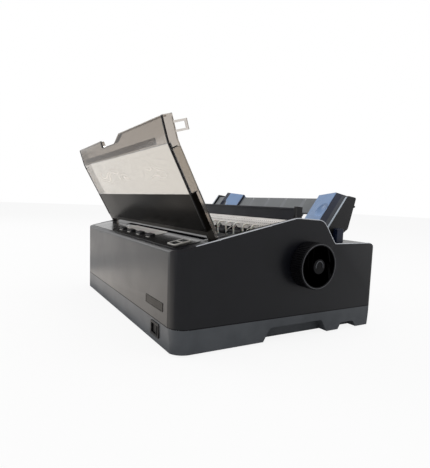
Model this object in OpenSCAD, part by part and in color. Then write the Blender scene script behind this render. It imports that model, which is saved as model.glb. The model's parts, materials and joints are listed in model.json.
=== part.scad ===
// Desktop dot matrix printer, open for loading. X runs to the right, Y to the rear and Z up.
// The origin is the middle of the case's footprint, on the table.

/* [Case] */
// Width of the case at its foot
case_w = 348; // [340:1:372]
// Room between the tractors' support rod and the foot of the rear wall
rear_room = 20; // [19:1:34]
// Gap under the case, which the feet fill
foot_h = 1.5; // [1:0.25:2.5]
// Height of the joint between the two case halves
split_z = 26.2; // [25:0.2:29]
// Visible gap between the two case halves
seam = 0.4; // [0.2:0.1:0.8]
// Height of the front edge of the top
front_z = 100.3; // [98:0.5:106]
// Slope of the front deck and of the tops of the side walls
deck_angle = 12.86; // [12:0.1:13.6]
// Distance from the front face to the highest point of the side walls
peak_back = 142.3; // [138:1:146]
// Length of the nearly level top of the side walls
peak_run = 39.7; // [36:1:44]
// Fall of that top from its front end to its rear end
peak_drop = 1.9; // [0.5:0.1:3]
// Distance from the front face to the foot of the slope behind the side walls
rear_foot = 201.4; // [198:1:206]
// Height of the rear deck
rear_z = 104.4; // [102:0.2:108]
// Thickness of the side walls
side_t = 4; // [3:0.5:5]
// Thickness of the other walls, the floor and the decks
wall = 2.6; // [2:0.2:3.2]
// Inward lean of each side wall over its height
draft = 2.4; // [0.5:0.1:3]
// Radius of the upright corners at the front
front_corner_r = 17; // [12:1:26]
// Radius of the upright corners at the rear
rear_corner_r = 6; // [5:1:12]
// Radius of the edge along the rear deck
rear_edge_r = 12; // [6:1:14]
// How far the rear wall stands behind its foot, at the joint and at its top
back_lean = [3.5, 5.5];

/* [Hand holds and feet] */
// Depth of the hand holds in the sides
grip_in = 12; // [8:0.5:14]
// Height of the front hand hold above the table
grip_h = 16; // [13:0.5:18]
// Front and rear ends of the front hand hold, from the front face
grip_span = [103, 197];
// Height of the rear recess above the table
notch_h = 9.2; // [7:0.2:11]
// Front and rear ends of the rear recess, from the front face
notch_span = [214, 246];
// Radius of a rubber foot
foot_r = 8; // [6:0.5:10]
// Distance of the feet from the case's sides and from its front and rear
foot_in = [28, 22];
// Distance of the case screws from the case's sides and from its front and rear
screw_in = [49, 38];
// Depth of the pocket that a foot sits in
foot_pocket = 1.2; // [0.8:0.1:1.6]

/* [Control panel] */
// Deck left free at each end of the black panel
panel_room = 16; // [14:1:24]
// Depth of the black panel along the deck
panel_d = 29; // [27:0.5:31]
// Distance from the front edge of the deck to the panel
panel_from = 6; // [4:0.5:8]
// Thickness of the panel
panel_t = 1.6; // [1.2:0.1:2]
// How far the panel stands above the deck
panel_proud = 0.4; // [0.2:0.1:0.8]
// Width, depth and corner radius of a button's cap
button_size = [17, 6.5, 1.6];
// How far a button's cap stands above the panel
button_proud = 1.6; // [1:0.1:2.2]
// Travel of a button
button_travel = 0.8; // [0.5:0.1:1]
// Distance between the buttons
button_pitch = 34; // [28:1:38]
// Place of the middle of the row of buttons
buttons_x = 7; // [0:1:12]
// Distance of the row of buttons from the front edge of the deck
buttons_s = 20.5; // [18:0.5:23]
// Width and depth of the status plate
status_size = [20, 18];
// Distance of the status plate's middle from the case's side
status_in = 36.5; // [34:0.5:48]
// Height of the status plate above the panel
status_proud = 0.7; // [0.4:0.1:1.2]
// Gap round a button, a lens or the rocker
cap_gap = 0.3; // [0.2:0.05:0.5]

/* [Front face] */
// Distance of the power switch's middle from the case's side
switch_in = 46.5; // [42:0.5:70]
// Height of the power switch's middle
switch_z = 15.6; // [14.6:0.1:16.4]
// Width and height of the switch's bezel
bezel_size = [22, 15];
// Angle that the rocker turns through
rock = 16; // [10:1:20]
// Width, height and thickness of the blank badge plate
badge_size = [46, 9, 1.2];
// Distance of the badge plate's middle from the case's side
badge_in = 50.5; // [48:0.5:70]
// Height of the badge plate's middle
badge_z = 42.2; // [38:0.2:60]

/* [Cover] */
// Angle between the closed and the open cover
cover_open = 105.3; // [95:0.5:106]
// Distance from the front face to the hinge pins
hinge_back = 45; // [44:0.5:48]
// Depth of the hinge pins below the tops of the side walls
hinge_deep = 3.65; // [3.2:0.05:4.4]
// Distance from the hinge to the cover's front edge
cover_start = 9.7; // [9:0.1:11]
// Length of the cover's main face
cover_main = 93; // [88:0.5:94]
// Length of the bent band at the cover's free edge
cover_band = 24; // [20:0.5:25]
// Bend between the main face and the band
cover_bend = 11.2; // [8:0.2:13]
// Thickness of the cover's sheet
cover_t = 2.2; // [1.8:0.1:2.6]
// Depth of the cover's side walls
cover_deep = 10; // [8:0.5:11]
// Thickness of the cover's side walls
cover_side_t = 2.4; // [2:0.1:3]
// Gap between the cover and the case's side walls
cover_gap = 1.2; // [0.8:0.1:2]
// Where the clear window starts, from the cover's front edge
window_from = 43.5; // [38:0.5:48]
// Where the clear window's side flanges end, before the bend
flange_stop = 6; // [4:0.5:10]
// Gap between the window and the frame
window_gap = 0.2; // [0.1:0.05:0.4]
// Radius of the hinge pins
pin_r = 2.4; // [2:0.1:2.6]
// Running gap round a shaft or pin
fit = 0.05; // [0.03:0.01:0.08]

/* [Paper path] */
// Distance from the front face to the platen's axis
platen_back = 160.6; // [158:0.5:164]
// Height of the platen's axis
platen_z = 82.3; // [80:0.5:84]
// Radius of the platen
platen_r = 19; // [18:0.25:20]
// Room between each end of the platen and the side frame
platen_room = 20.8; // [19.8:0.1:25]
// Radius of the platen's shaft
platen_shaft_r = 5; // [4:0.25:5.5]
// Radius of the knob
knob_r = 25.6; // [22:0.2:26]
// Thickness of the knob
knob_t = 16.5; // [12:0.5:18]
// Gap between the knob and the case
knob_gap = 1.2; // [0.6:0.1:2]
// Distance from each end of the platen to the tension bar's arm
arm_room = 6; // [5:0.25:7]
// Front and rear faces of the tension bar, behind the platen's axis
bar_span = [10.4, 18.9];
// Height of the bottom of the tension bar
bar_z = 128; // [125:0.5:130]
// Height of the tension bar itself
bar_h = 15.5; // [13:0.5:17]
// Radius of the tension rollers
tension_r = 5; // [4:0.25:6]
// Radius of the pinch rollers under the platen
pinch_r = 6; // [5:0.25:7]
// Gap between the platen and the rollers on it
nip = 0.3; // [0.2:0.05:0.5]

/* [Paper guide] */
// Distance of each end of the paper guide from the case's side
guide_room = 19; // [18:0.5:24]
// Lean of the raised paper guide above level
guide_angle = 53.6; // [48:0.2:58]
// Distance from the front face to the guide's lower front edge
guide_back = 209; // [207:0.5:212]
// Height of the guide's lower front edge
guide_z = 119; // [117:0.5:122]
// Length of the guide up its slope
guide_len = 47.2; // [42:0.2:52]
// Where the front sheet starts, up the slope from the lower front edge
guide_from = 22; // [16:1:26]
// Depth of the guide's upper lip
guide_deep = 15.5; // [13:0.5:17]
// Depth of the guide's end plates at their widest
guide_plate = 24; // [20:0.5:26]
// Thickness of the guide's front sheet
guide_t = 3; // [2:0.2:4]
// Distance from the front face to the guide's hinge
guide_hinge_back = 218.5; // [217.5:0.5:220]
// Height of the guide's hinge
guide_hinge_z = 113; // [112:0.2:114]
// Radius of the guide's hinge pins
guide_pin_r = 3; // [2.5:0.25:3.5]
// Widths of the left and right edge guides
edge_w = [58, 46];
// Distance from each end of the paper guide to the edge guide's outer side
edge_in = [27, 4.5];
// Where the edge guides start, up the slope from the lower front edge
edge_from = [13, 5];
// Height of an edge guide's ridge above the sheet
edge_rise = 8.5; // [6:0.5:10]

/* [Frame] */
// Height of the base plate's underside
base_z = 12; // [11:0.5:13]
// Thickness of the steel plates
plate_t = 1.2; // [1:0.1:1.6]
// Room between the case's sides and the inner faces of the side frames
side_room = 25.2; // [24:0.2:27]
// Distance from the front face to the front end of the side frames
frame_from = 38; // [36:1:44]
// How far the side frames reach past the support rod
frame_past = 5; // [4.5:0.5:8]
// Height of the side frames
frame_top = 97; // [95:0.5:98]
// Radius of the stepped bushings at the platen's ends
bushing_r = 8; // [7:0.25:9]

/* [Gears] */
// Module of the gear teeth
gear_mod = 1.5; // [1.45:0.05:1.55]
// Teeth of the platen gear
platen_teeth = 28; // [28:2:28]
// Teeth of the idler gear
idler_teeth = 22; // [22:2:22]
// Teeth of the tractor gear
tractor_teeth = 20; // [20:2:20]
// Teeth of the motor's pinion
pinion_teeth = 12; // [12:2:12]
// Face width of the gears
gear_w = 5; // [4:0.5:6]
// Play between two meshed teeth
backlash = 0.3; // [0.2:0.05:0.4]
// Direction of the pinion from the platen's axis
pinion_dir = 240; // [236:1:244]

/* [Tractor] */
// Distance from the front face to the tractor shaft
tractor_back = 225; // [223:0.5:226]
// Height of the tractor shaft
tractor_z = 78; // [77:0.5:80]
// Distance from each side frame to the middle of its tractor
tractor_in = 34.5; // [34:0.1:40]
// Distance between two pins of a sprocket
pin_pitch = 12.7; // [12.5:0.1:12.8]
// Side of the square tractor shaft
square = 6; // [5:0.25:6.5]
// Width of a tractor
tractor_w = 16; // [14:0.5:18]
// Distance from the tractor shaft to the support rod behind it
rod_back = 21; // [20:0.5:23]
// Radius of the support rod
rod_r = 3; // [2.5:0.25:3.5]

/* [Carriage] */
// Distance from the front face to the carriage shaft
carriage_back = 111; // [109:0.5:112]
// Height of the carriage shaft
carriage_z = 62; // [61:0.5:63]
// Radius of the carriage shaft
carriage_r = 5; // [4:0.25:5.5]
// Width of the carriage
carriage_w = 44; // [38:1:46]
// Distance from the left side frame to the middle of the parked carriage
carriage_in = 48.8; // [48:0.2:53]
// Gap between the print head's nose and the platen
head_gap = 1.8; // [1.6:0.1:2]
// Distance from the front face to the belt's middle
belt_back = 95; // [94:0.5:96]
// Height of the belt's underside
belt_z = 44; // [43.5:0.5:45]
// Width of the belt
belt_w = 6; // [5:0.5:6.5]
// Thickness of the belt
belt_t = 1.2; // [1:0.1:1.4]
// Radius of the belt's pulleys
pulley_r = 7; // [6:0.25:7.5]
// Distance from the side frames to the axis of each pulley
pulley_in = 15.8; // [15:0.1:18]
// Gap between the ribbon cartridge and the side frames
ribbon_room = 6.8; // [5:0.1:10]
// Distance from the front face to the front of the ribbon cartridge
ribbon_from = 55; // [52:1:60]
// Gap between the ribbon cartridge and the print head behind it
ribbon_clear = 2; // [1:0.5:4]
// Height of the ribbon cartridge's underside
ribbon_z = 84; // [83:0.5:86]
// Height of the ribbon cartridge itself
ribbon_h = 14; // [12:0.5:15]

/* [Hidden] */
$fn = 48;
eps = 0.01;

// Depth of the case, which the tractors behind the platen set
case_d = tractor_back + rod_back + rear_room;
front_y = -case_d / 2;
back_y = case_d / 2;
rear_y = back_y + back_lean[0];
peak_y = front_y + peak_back;
peak_z = deck_z(peak_y);
platen_y = front_y + platen_back;
base_top = base_z + plate_t;
floor_top = foot_h + wall;

// Widths and places across the machine, from the case's width
foot_pitch = [case_w - 2 * foot_in[0], case_d - 2 * foot_in[1]];
screw_pitch = [case_w - 2 * screw_in[0], case_d - 2 * screw_in[1]];
panel_w = case_w - 2 * panel_room;
status_x = case_w / 2 - status_in;
switch_x = case_w / 2 - switch_in;
badge_x = case_w / 2 - badge_in;
guide_w = case_w - 2 * guide_room;
frame_x = case_w / 2 - side_room;
platen_len = 2 * (frame_x - platen_room);
tractor_x = frame_x - tractor_in;
pulley_x = frame_x - pulley_in;
carriage_park = carriage_in - frame_x;
ribbon_w = 2 * (frame_x - ribbon_room);

// Height of the front deck's plane above a place along the machine
function deck_z(y) = front_z + (y - front_y) * tan(deck_angle);

// Half width of the case at a height
function half_w(z) = case_w / 2 - draft * (z - foot_h) / (peak_z - foot_h);

function unit(v) = v / norm(v);
function flat(c) = [c[0], c[1]];

// Polygon points whose corners [x, y, radius] are rounded by arcs of n steps
function rounded(c, n = 6) = [
    for (i = [0:len(c) - 1])
        let (
            p = flat(c[i]),
            r = c[i][2],
            u = unit(flat(c[(i + len(c) - 1) % len(c)]) - p),
            v = unit(flat(c[(i + 1) % len(c)]) - p),
            half = acos(u * v) / 2,
            turn = 180 - 2 * half,
            middle = p + unit(u + v) * r / sin(half),
            from = p + u * r / tan(half) - middle,
            to = p + v * r / tan(half) - middle
        )
        for (k = [0:r > 0 ? n : 0])
            r > 0 ? middle + (from * sin(turn * (1 - k / n)) + to * sin(turn * k / n)) / sin(turn) : p
];

// Rectangle with its middle at the origin and rounded corners
function plate_pts(w, d, r, n = 5) =
    rounded([[-w / 2, -d / 2, r], [w / 2, -d / 2, r], [w / 2, d / 2, r], [-w / 2, d / 2, r]], n);

// Extrudes a (y, z) outline along X from x0 over a length
module along_x(x0, len) {
    translate([x0, 0, 0]) rotate([90, 0, 90]) linear_extrude(height = len) children();
}

// Extrudes an (x, z) outline along Y from y0 over a length
module along_y(y0, len) {
    translate([0, y0 + len, 0]) rotate([90, 0, 0]) linear_extrude(height = len) children();
}

// Round bar along X
module rod_x(x0, x1, y, z, r) {
    translate([x0, y, z]) rotate([0, 90, 0]) cylinder(h = x1 - x0, r = r);
}

// Round bar along Z
module rod_z(x, y, z0, z1, r) {
    translate([x, y, z0]) cylinder(h = z1 - z0, r = r);
}

// Box between two corners
module box(a, b) {
    translate(a) cube(b - a);
}

module both_sides() {
    children();
    mirror([1, 0, 0]) children();
}

// Frame of the front deck: X across, Y up the slope from the front edge, Z out of the deck
module on_deck() {
    translate([0, front_y, front_z]) rotate([deck_angle, 0, 0]) children();
}

// ---- Case ----

// Outline of the case from the side, moved inwards by t
function case_outline(t) = rounded([
    [front_y + 1 + t, foot_h - eps, 0],
    [front_y + t, split_z, 0],
    [front_y + t, deck_z(front_y + t) - t / cos(deck_angle), max(0.5, 4 - t)],
    [peak_y, peak_z - t / cos(deck_angle), 14],
    [peak_y + peak_run - t / 2, peak_z - peak_drop - t, 15],
    [front_y + rear_foot - t / 2, rear_z - t, 3],
    [back_y + back_lean[1] - t, rear_z - t, max(1, rear_edge_r - t)],
    [rear_y - t, split_z, 0],
    [back_y - t, foot_h - eps, 0]
]);

// Block inside the drafted sides of the case between two heights, moved inwards by t at the sides
module case_prism(t, z0, z1) {
    w0 = half_w(z0) - t;
    translate([0, 0, z0])
        linear_extrude(height = z1 - z0, scale = [(half_w(z1) - t) / w0, 1], slices = 1)
            polygon(rounded([
                [-w0, front_y + t * 0.6, front_corner_r - t],
                [w0, front_y + t * 0.6, front_corner_r - t],
                [w0, back_y + back_lean[1] - t * 0.6, rear_corner_r - t],
                [-w0, back_y + back_lean[1] - t * 0.6, rear_corner_r - t]
            ], 12));
}

module case_block(side, t, z0, z1) {
    intersection() {
        along_x(-case_w / 2, case_w) polygon(case_outline(t));
        case_prism(side, z0, z1);
    }
}

// Recess in both sides of the lower case, between two distances from the front face
module side_recess(span, h, depth, more) {
    both_sides()
        along_x(case_w / 2 - depth - more, depth + more + 1)
            polygon(rounded([
                [front_y + span[0] - more, foot_h - 1, 0],
                [front_y + span[1] + more, foot_h - 1, 0],
                [front_y + span[1] - h * 0.6 + more, h + more, 4],
                [front_y + span[0] + h * 0.6 - more, h + more, 4]
            ], 5));
}

module hand_holds(more) {
    side_recess(grip_span, grip_h, grip_in, more);
    side_recess(notch_span, notch_h, grip_in, more);
}

boss_r = 6;
screw_r = 1.5;
screw_head_r = 3.2;

module at_corners(pitch) {
    for (sx = [-1, 1])
        for (sy = [-1, 1])
            translate([sx * pitch[0] / 2, sy * pitch[1] / 2, 0]) children();
}

bezel_seat = 0.15;

module lower_case() {
    color([0.10, 0.11, 0.13]) difference() {
        union() {
            difference() {
                case_block(0, 0, foot_h, split_z - seam);
                hand_holds(0);
                difference() {
                    case_block(side_t, wall, floor_top, split_z + 1);
                    hand_holds(wall);
                }
            }
            at_corners(screw_pitch) rod_z(0, 0, floor_top - eps, base_z, boss_r);
        }
        at_corners(screw_pitch) {
            rod_z(0, 0, foot_h - 1, base_z + 1, screw_r + fit);
            rod_z(0, 0, foot_h - 1, foot_h + screw_head_r, screw_head_r + cap_gap);
        }
        at_corners(foot_pitch) rod_z(0, 0, foot_h - 1, foot_h + foot_pocket, foot_r + fit);
        along_y(front_y - 1, wall + 3)
            translate([switch_x, switch_z])
                polygon(plate_pts(bezel_size[0] - 2, bezel_size[1] - 2, 1));
    }
}

module rubber_feet() {
    color([0.05, 0.05, 0.05])
        at_corners(foot_pitch)
            rotate_extrude()
                polygon(rounded([[0, 0, 0], [foot_r - 0.6, 0, 0.5],
                    [foot_r, foot_h + foot_pocket, 0], [0, foot_h + foot_pocket, 0]], 4));
}

module case_screws() {
    color([0.55, 0.56, 0.58])
        at_corners(screw_pitch) {
            rod_z(0, 0, foot_h + screw_head_r - 2, base_z + plate_t + 4, screw_r);
            difference() {
                rod_z(0, 0, foot_h + screw_head_r - 2, foot_h + screw_head_r, screw_head_r);
                for (a = [0, 90])
                    rotate([0, 0, a])
                        box([-2, -0.4, foot_h], [2, 0.4, foot_h + screw_head_r - 1]);
            }
        }
}

hinge_y = front_y + hinge_back;
hinge_z = deck_z(hinge_y) - hinge_deep / cos(deck_angle);
// Rear edge of the front deck, just in front of the closed cover
deck_end = hinge_y + (cover_start - cover_gap) * cos(deck_angle);
// Half width of the cover, inside the side walls at the height of the peak
cover_half = half_w(peak_z) - side_t - cover_gap;
cover_arm_room = 2.5;
rear_side = 33;
rear_lip = 13;
shaft_hole_r = platen_shaft_r + 2;
badge_sink = 0.7;

module upper_case() {
    color([0.05, 0.055, 0.075]) difference() {
        case_block(0, 0, split_z, peak_z + 1);
        case_block(side_t, wall, split_z - 1, peak_z + 2);
        // bay under the cover, between the side walls
        intersection() {
            case_prism(side_t, split_z + 1, peak_z + 5);
            box([-case_w, deck_end, split_z + 2], [case_w, front_y + rear_foot + 1, peak_z + 4]);
        }
        // opening behind it for paper and tractors
        box([rear_side - case_w / 2, front_y + rear_foot, rear_z - 20],
            [case_w / 2 - rear_side, back_y - rear_lip, rear_z + 1]);
        // slots for the cover's arms
        both_sides()
            intersection() {
                case_prism(side_t, split_z + 1, peak_z + 5);
                box([cover_half - cover_side_t * 2 - cover_arm_room, hinge_y - cover_deep, rear_z - 12],
                    [case_w, deck_end + 1, peak_z]);
            }
        both_sides() rod_x(cover_half, half_w(hinge_z) - 1, hinge_y, hinge_z, pin_r + fit);
        rod_x(case_w / 2 - side_t - draft - 2, case_w / 2 + 1, platen_y, platen_z, shaft_hole_r);
        on_deck() {
            translate([0, panel_from + panel_d / 2, panel_proud - panel_t])
                linear_extrude(height = panel_t + 1)
                    polygon(plate_pts(panel_w + 2 * fit, panel_d + 2 * fit, 3));
            at_buttons() button_hole();
        }
        along_y(front_y - 1, 1 + badge_sink)
            translate([badge_x, badge_z])
                polygon(plate_pts(badge_size[0] + cap_gap, badge_size[1] + cap_gap, 1));
        port_cuts();
        inlet_cut();
    }
}

// ---- Control panel ----

module at_buttons() {
    for (i = [0:3])
        at_button(i) children();
}

module at_button(i) {
    translate([buttons_x + (i - 1.5) * button_pitch, buttons_s, 0]) children();
}

// Hole through panel and deck that a button slides in
module button_hole() {
    translate([0, 0, -wall - 2])
        linear_extrude(height = wall + 2 + panel_t + 1)
            polygon(plate_pts(button_size[0] + 2 * cap_gap, button_size[1] + 2 * cap_gap,
                button_size[2]));
}

lens_size = [6, 7];
lens_pitch = 9.5;

module at_lenses() {
    for (i = [-1, 1])
        translate([status_x, panel_from + panel_d / 2 + i * lens_pitch / 2, 0]) children();
}

module control_panel() {
    color([0.03, 0.03, 0.035]) on_deck() difference() {
        translate([0, panel_from + panel_d / 2, panel_proud - panel_t])
            linear_extrude(height = panel_t)
                polygon(plate_pts(panel_w, panel_d, 3));
        at_buttons() button_hole();
    }
}

module status_plate() {
    color([0.78, 0.77, 0.73]) on_deck() difference() {
        translate([status_x, panel_from + panel_d / 2, panel_proud])
            linear_extrude(height = status_proud)
                polygon(plate_pts(status_size[0], status_size[1] + 1, 2));
        at_lenses()
            translate([0, 0, panel_proud + 0.2])
                linear_extrude(height = status_proud + 1)
                    polygon(plate_pts(lens_size[0] * 2 + 2 * fit, lens_size[1] + 2 * fit, 1));
    }
}

module led_lenses() {
    color([0.12, 0.13, 0.14]) on_deck()
        at_lenses()
            translate([0, 0, panel_proud + 0.2])
                linear_extrude(height = status_proud)
                    polygon(plate_pts(lens_size[0] * 2, lens_size[1], 1));
}

button_flange = 1;
button_seat = 0.1;

// Cap, stem and the flange that keeps it under the deck
module button(i) {
    top = panel_proud + button_proud;
    color([0.02, 0.02, 0.025]) on_deck() at_button(i) {
        translate([0, 0, -wall - button_seat])
            linear_extrude(height = wall + button_seat + top)
                polygon(plate_pts(button_size[0], button_size[1], button_size[2]));
        translate([0, 0, -wall - button_seat - button_flange])
            linear_extrude(height = button_flange)
                polygon(plate_pts(button_size[0] + 2 * button_flange + 2 * cap_gap,
                    button_size[1] + 2 * button_flange + 2 * cap_gap, button_size[2]));
    }
}

module feed_button() { button(0); }
module load_button() { button(1); }
module font_button() { button(2); }
module pause_button() { button(3); }

// ---- Front face ----

bezel_proud = 0.8;
bezel_deep = 9;
rocker_y = front_y + 3.2;

module switch_bezel() {
    color([0.04, 0.04, 0.045])
        translate([switch_x, 0, switch_z]) difference() {
            union() {
                along_y(front_y - bezel_proud, bezel_proud)
                    polygon(plate_pts(bezel_size[0], bezel_size[1], 1.5));
                along_y(front_y - eps, bezel_deep)
                    polygon(plate_pts(bezel_size[0] - 2 - 2 * bezel_seat,
                        bezel_size[1] - 2 - 2 * bezel_seat, 1));
            }
            along_y(front_y - bezel_proud - 1, bezel_deep + bezel_proud - 0.2)
                polygon(plate_pts(bezel_size[0] - 5, bezel_size[1] - 5, 0.6));
            translate([0, rocker_y, -bezel_size[1]])
                cylinder(h = 2 * bezel_size[1], r = rocker_pin_r + fit);
        }
}

rocker_pin_r = 1.2;

// Rocker with one end pressed in, on an upright pin
module power_switch() {
    w = bezel_size[0] - 5 - 4 * cap_gap;
    h = bezel_size[1] - 5 - 2 * cap_gap;
    rise = w / 2 * tan(rock / 2);
    color([0.06, 0.06, 0.065])
        translate([switch_x, rocker_y, switch_z]) {
            rotate([0, 0, -rock / 2])
                translate([0, 0, -h / 2])
                    linear_extrude(height = h)
                        polygon([[-w / 2, -2.4 - rise], [0, -2.4], [w / 2, -2.4 - rise],
                            [w / 2 - 1, 1.5], [2, 3], [-2, 3], [-w / 2 + 1, 1.5]]);
            translate([0, 0, -bezel_size[1] / 2 + 1 + bezel_seat])
                cylinder(h = bezel_size[1] - 2 - 2 * bezel_seat, r = rocker_pin_r);
        }
}

module badge_plate() {
    color([0.10, 0.10, 0.11]) difference() {
        along_y(front_y + badge_sink - badge_size[2], badge_size[2])
            translate([badge_x, badge_z]) polygon(plate_pts(badge_size[0], badge_size[1], 1));
        along_y(front_y + badge_sink - badge_size[2] - 1, 1.3)
            translate([badge_x, badge_z]) polygon(plate_pts(badge_size[0] - 2, badge_size[1] - 2, 0.6));
    }
}

// ---- Cover ----

// Frame of the cover at its hinge, open: X across, Y up its main face, Z out of its outer face
module at_cover() {
    translate([0, hinge_y, hinge_z]) rotate([deck_angle + cover_open, 0, 0]) children();
}

cover_end = cover_start + cover_main;
band_y = cover_end + cover_band * cos(cover_bend);
band_z = hinge_deep - cover_band * sin(cover_bend);
rail_in = cover_side_t + window_gap;
flange_from = cover_start + window_from;
flange_to = cover_end - flange_stop;
bend_in = cover_t * tan(cover_bend / 2);

// Outline of a strip of the cover's side, between the outer face and a depth below it
module cover_strip(y0, depth) {
    polygon(rounded([
        [y0, hinge_deep, 0],
        [cover_end, hinge_deep, 0],
        [band_y, band_z, 0.5],
        [band_y - depth * sin(cover_bend), band_z - depth * cos(cover_bend), 0.5],
        [cover_end - depth * tan(cover_bend / 2), hinge_deep - depth, 0],
        [y0, hinge_deep - depth, 0]
    ], 3));
}

notch_deep = 8.5;
notch_x = [-41, 14, 43];
latch_at = [6.5, 16.5];
latch_len = 13;
latch_t = 2;

// Point of the bent band, by its distance from the free edge and its depth below the outer face
function band_pt(from_edge, depth) = [
    band_y - from_edge * cos(cover_bend) - depth * sin(cover_bend),
    band_z + from_edge * sin(cover_bend) - depth * cos(cover_bend)
];

module latch_outline(t) {
    polygon([
        band_pt(latch_at[0] + t, cover_deep - 2 + t), band_pt(latch_at[0] + t, cover_deep + latch_len - t),
        band_pt(latch_at[1] - t, cover_deep + latch_len - t), band_pt(latch_at[1] - t, cover_deep - 2 + t)
    ]);
}

module cover_frame() {
    color([0.33, 0.31, 0.28, 0.9]) at_cover() {
        difference() {
            union() {
                // skin of the lower zone and the band
                along_x(-cover_half, 2 * cover_half) difference() {
                    cover_strip(cover_start, cover_t);
                    translate([flange_from, hinge_deep - 2 * cover_t])
                        square([cover_main - window_from + eps - window_gap, 3 * cover_t]);
                }
                both_sides() {
                    // inner rail beside the window
                    along_x(cover_half - rail_in - cover_side_t, cover_side_t) difference() {
                        cover_strip(cover_start, cover_deep);
                        translate([flange_from - window_gap, hinge_deep - cover_t - window_gap])
                            square([cover_main - window_from + window_gap, 3 * cover_t]);
                    }
                    // outer wall below and above the window's flange
                    along_x(cover_half - rail_in - eps, rail_in + eps) difference() {
                        cover_strip(cover_start, cover_deep);
                        translate([flange_from - window_gap, hinge_deep - 2 * cover_deep])
                            square([flange_to - flange_from + 2 * window_gap, 3 * cover_deep]);
                        translate([flange_from, hinge_deep - cover_t - window_gap])
                            square([cover_main - window_from, 3 * cover_t]);
                    }
                    // arm down to the hinge
                    along_x(cover_half - rail_in - cover_side_t, rail_in + cover_side_t) {
                        circle(r = pin_r + 1.2);
                        polygon([[0, -pin_r - 1.2], [cover_start + 4, hinge_deep - cover_deep],
                            [cover_start + 4, hinge_deep], [cover_start, hinge_deep],
                            [0, pin_r + 1.2]]);
                    }
                    rod_x(cover_half - 1, half_w(hinge_z) - 1.2, 0, 0, pin_r);
                    // latch loop at the free corner
                    along_x(cover_half - cover_side_t, cover_side_t) difference() {
                        latch_outline(0);
                        latch_outline(latch_t);
                    }
                }
            }
            // notch to see the print line through
            translate([0, 0, band_z - cover_deep])
                linear_extrude(height = 3 * cover_deep)
                    polygon([[notch_x[0], band_y + 1], [notch_x[0], band_y - notch_deep],
                        [notch_x[1], band_y - notch_deep], [notch_x[2], band_y + 1]]);
        }
    }
}

module cover_window() {
    color([0.62, 0.60, 0.56, 0.45]) at_cover() {
        along_x(-cover_half, 2 * cover_half)
            translate([flange_from, hinge_deep - cover_t])
                square([cover_main - window_from - window_gap - bend_in, cover_t]);
        both_sides()
            along_x(cover_half - cover_side_t, cover_side_t)
                translate([flange_from, hinge_deep - cover_deep])
                    square([flange_to - flange_from, cover_deep]);
    }
}

// ---- Tension unit ----

tension_at = 70;
tension_y = platen_y + (platen_r + nip + tension_r) * cos(tension_at);
tension_z = platen_z + (platen_r + nip + tension_r) * sin(tension_at);
tension_shaft_r = 2.5;
tension_rolls = 6;
arm_t = 3.5;
arm_x = platen_len / 2 + arm_room;
bar_w = 2 * (arm_x - 2);
bar_y = [platen_y + bar_span[0], platen_y + bar_span[1]];
bar_top = bar_z + bar_h;

module tension_bar() {
    color([0.07, 0.07, 0.075]) difference() {
        along_x(-bar_w / 2, bar_w)
            polygon(rounded([[bar_y[0], bar_z, 0.6], [bar_y[1], bar_z + 1.5, 1],
                [bar_y[1], bar_top, 1.2], [bar_y[0] + 1, bar_top, 1]], 4));
        for (x = [-bar_w / 2 + 12:18:bar_w / 2 - 24])
            box([x, bar_y[0] + 3, bar_z - 1], [x + 14, bar_y[1] - 2, bar_z + 6]);
    }
}

module tension_arms() {
    color([0.03, 0.03, 0.035]) both_sides() {
        difference() {
            along_x(arm_x, arm_t) {
                translate([platen_y, platen_z]) circle(r = platen_shaft_r + 4);
                polygon([[platen_y - 7, platen_z + 4], [platen_y + 7, platen_z - 2],
                    [bar_y[1], bar_z - 6], [bar_y[1], bar_top + 1],
                    [bar_y[0] + 0.5, bar_top + 1.5], [bar_y[0], bar_z - 4]]);
            }
            rod_x(arm_x - 1, arm_x + arm_t + 1, platen_y, platen_z, platen_shaft_r + fit);
            rod_x(arm_x - 1, arm_x + arm_t + 1, tension_y, tension_z, tension_shaft_r + fit);
        }
        // cap that takes the bar's end
        along_x(bar_w / 2, 2 + eps)
            polygon([[bar_y[0] - 0.4, bar_z + 2], [bar_y[1] + 0.4, bar_z + 2],
                [bar_y[1] + 0.4, bar_top + 1], [bar_y[0] + 0.5, bar_top + 1.5]]);
    }
}

module tension_rollers() {
    rod_end = arm_x + arm_t + 1;
    color([0.12, 0.12, 0.12]) {
        rod_x(-rod_end, rod_end, tension_y, tension_z, tension_shaft_r);
        for (i = [0:tension_rolls - 1])
            translate([(i - (tension_rolls - 1) / 2) * platen_len / tension_rolls, 0, 0]) difference() {
                rod_x(-9, 9, tension_y, tension_z, tension_r);
                rod_x(-10, 10, tension_y, tension_z, tension_shaft_r - eps);
            }
    }
}

// ---- Paper guide ----

// Frame of the raised paper guide: X across, Y up its slope, Z out of its front sheet
module on_guide() {
    translate([0, front_y + guide_back, guide_z]) rotate([guide_angle, 0, 0]) children();
}

// Point in that frame, from its place behind the front face and its height
function in_guide(back, z) =
    let (dy = back - guide_back, dz = z - guide_z)
    [dy * cos(guide_angle) + dz * sin(guide_angle), dz * cos(guide_angle) - dy * sin(guide_angle)];

guide_hinge_y = front_y + guide_hinge_back;
guide_end_t = 4;
guide_rim = 3;
apron_gap = 1;
// Corners of the apron round the hinge, behind the front face and above the table
apron = [
    in_guide(guide_hinge_back + 7.6, guide_hinge_z - 2),
    in_guide(guide_hinge_back + 2, rear_z + apron_gap),
    in_guide(guide_hinge_back - 9.5, rear_z + apron_gap)
];
rib_count = 7;
rib_in = 35;
rib_pitch = (guide_w - 2 * rib_in) / (rib_count - 1);
rib_from = 10;
guide_pin = in_guide(guide_hinge_back, guide_hinge_z);

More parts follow.
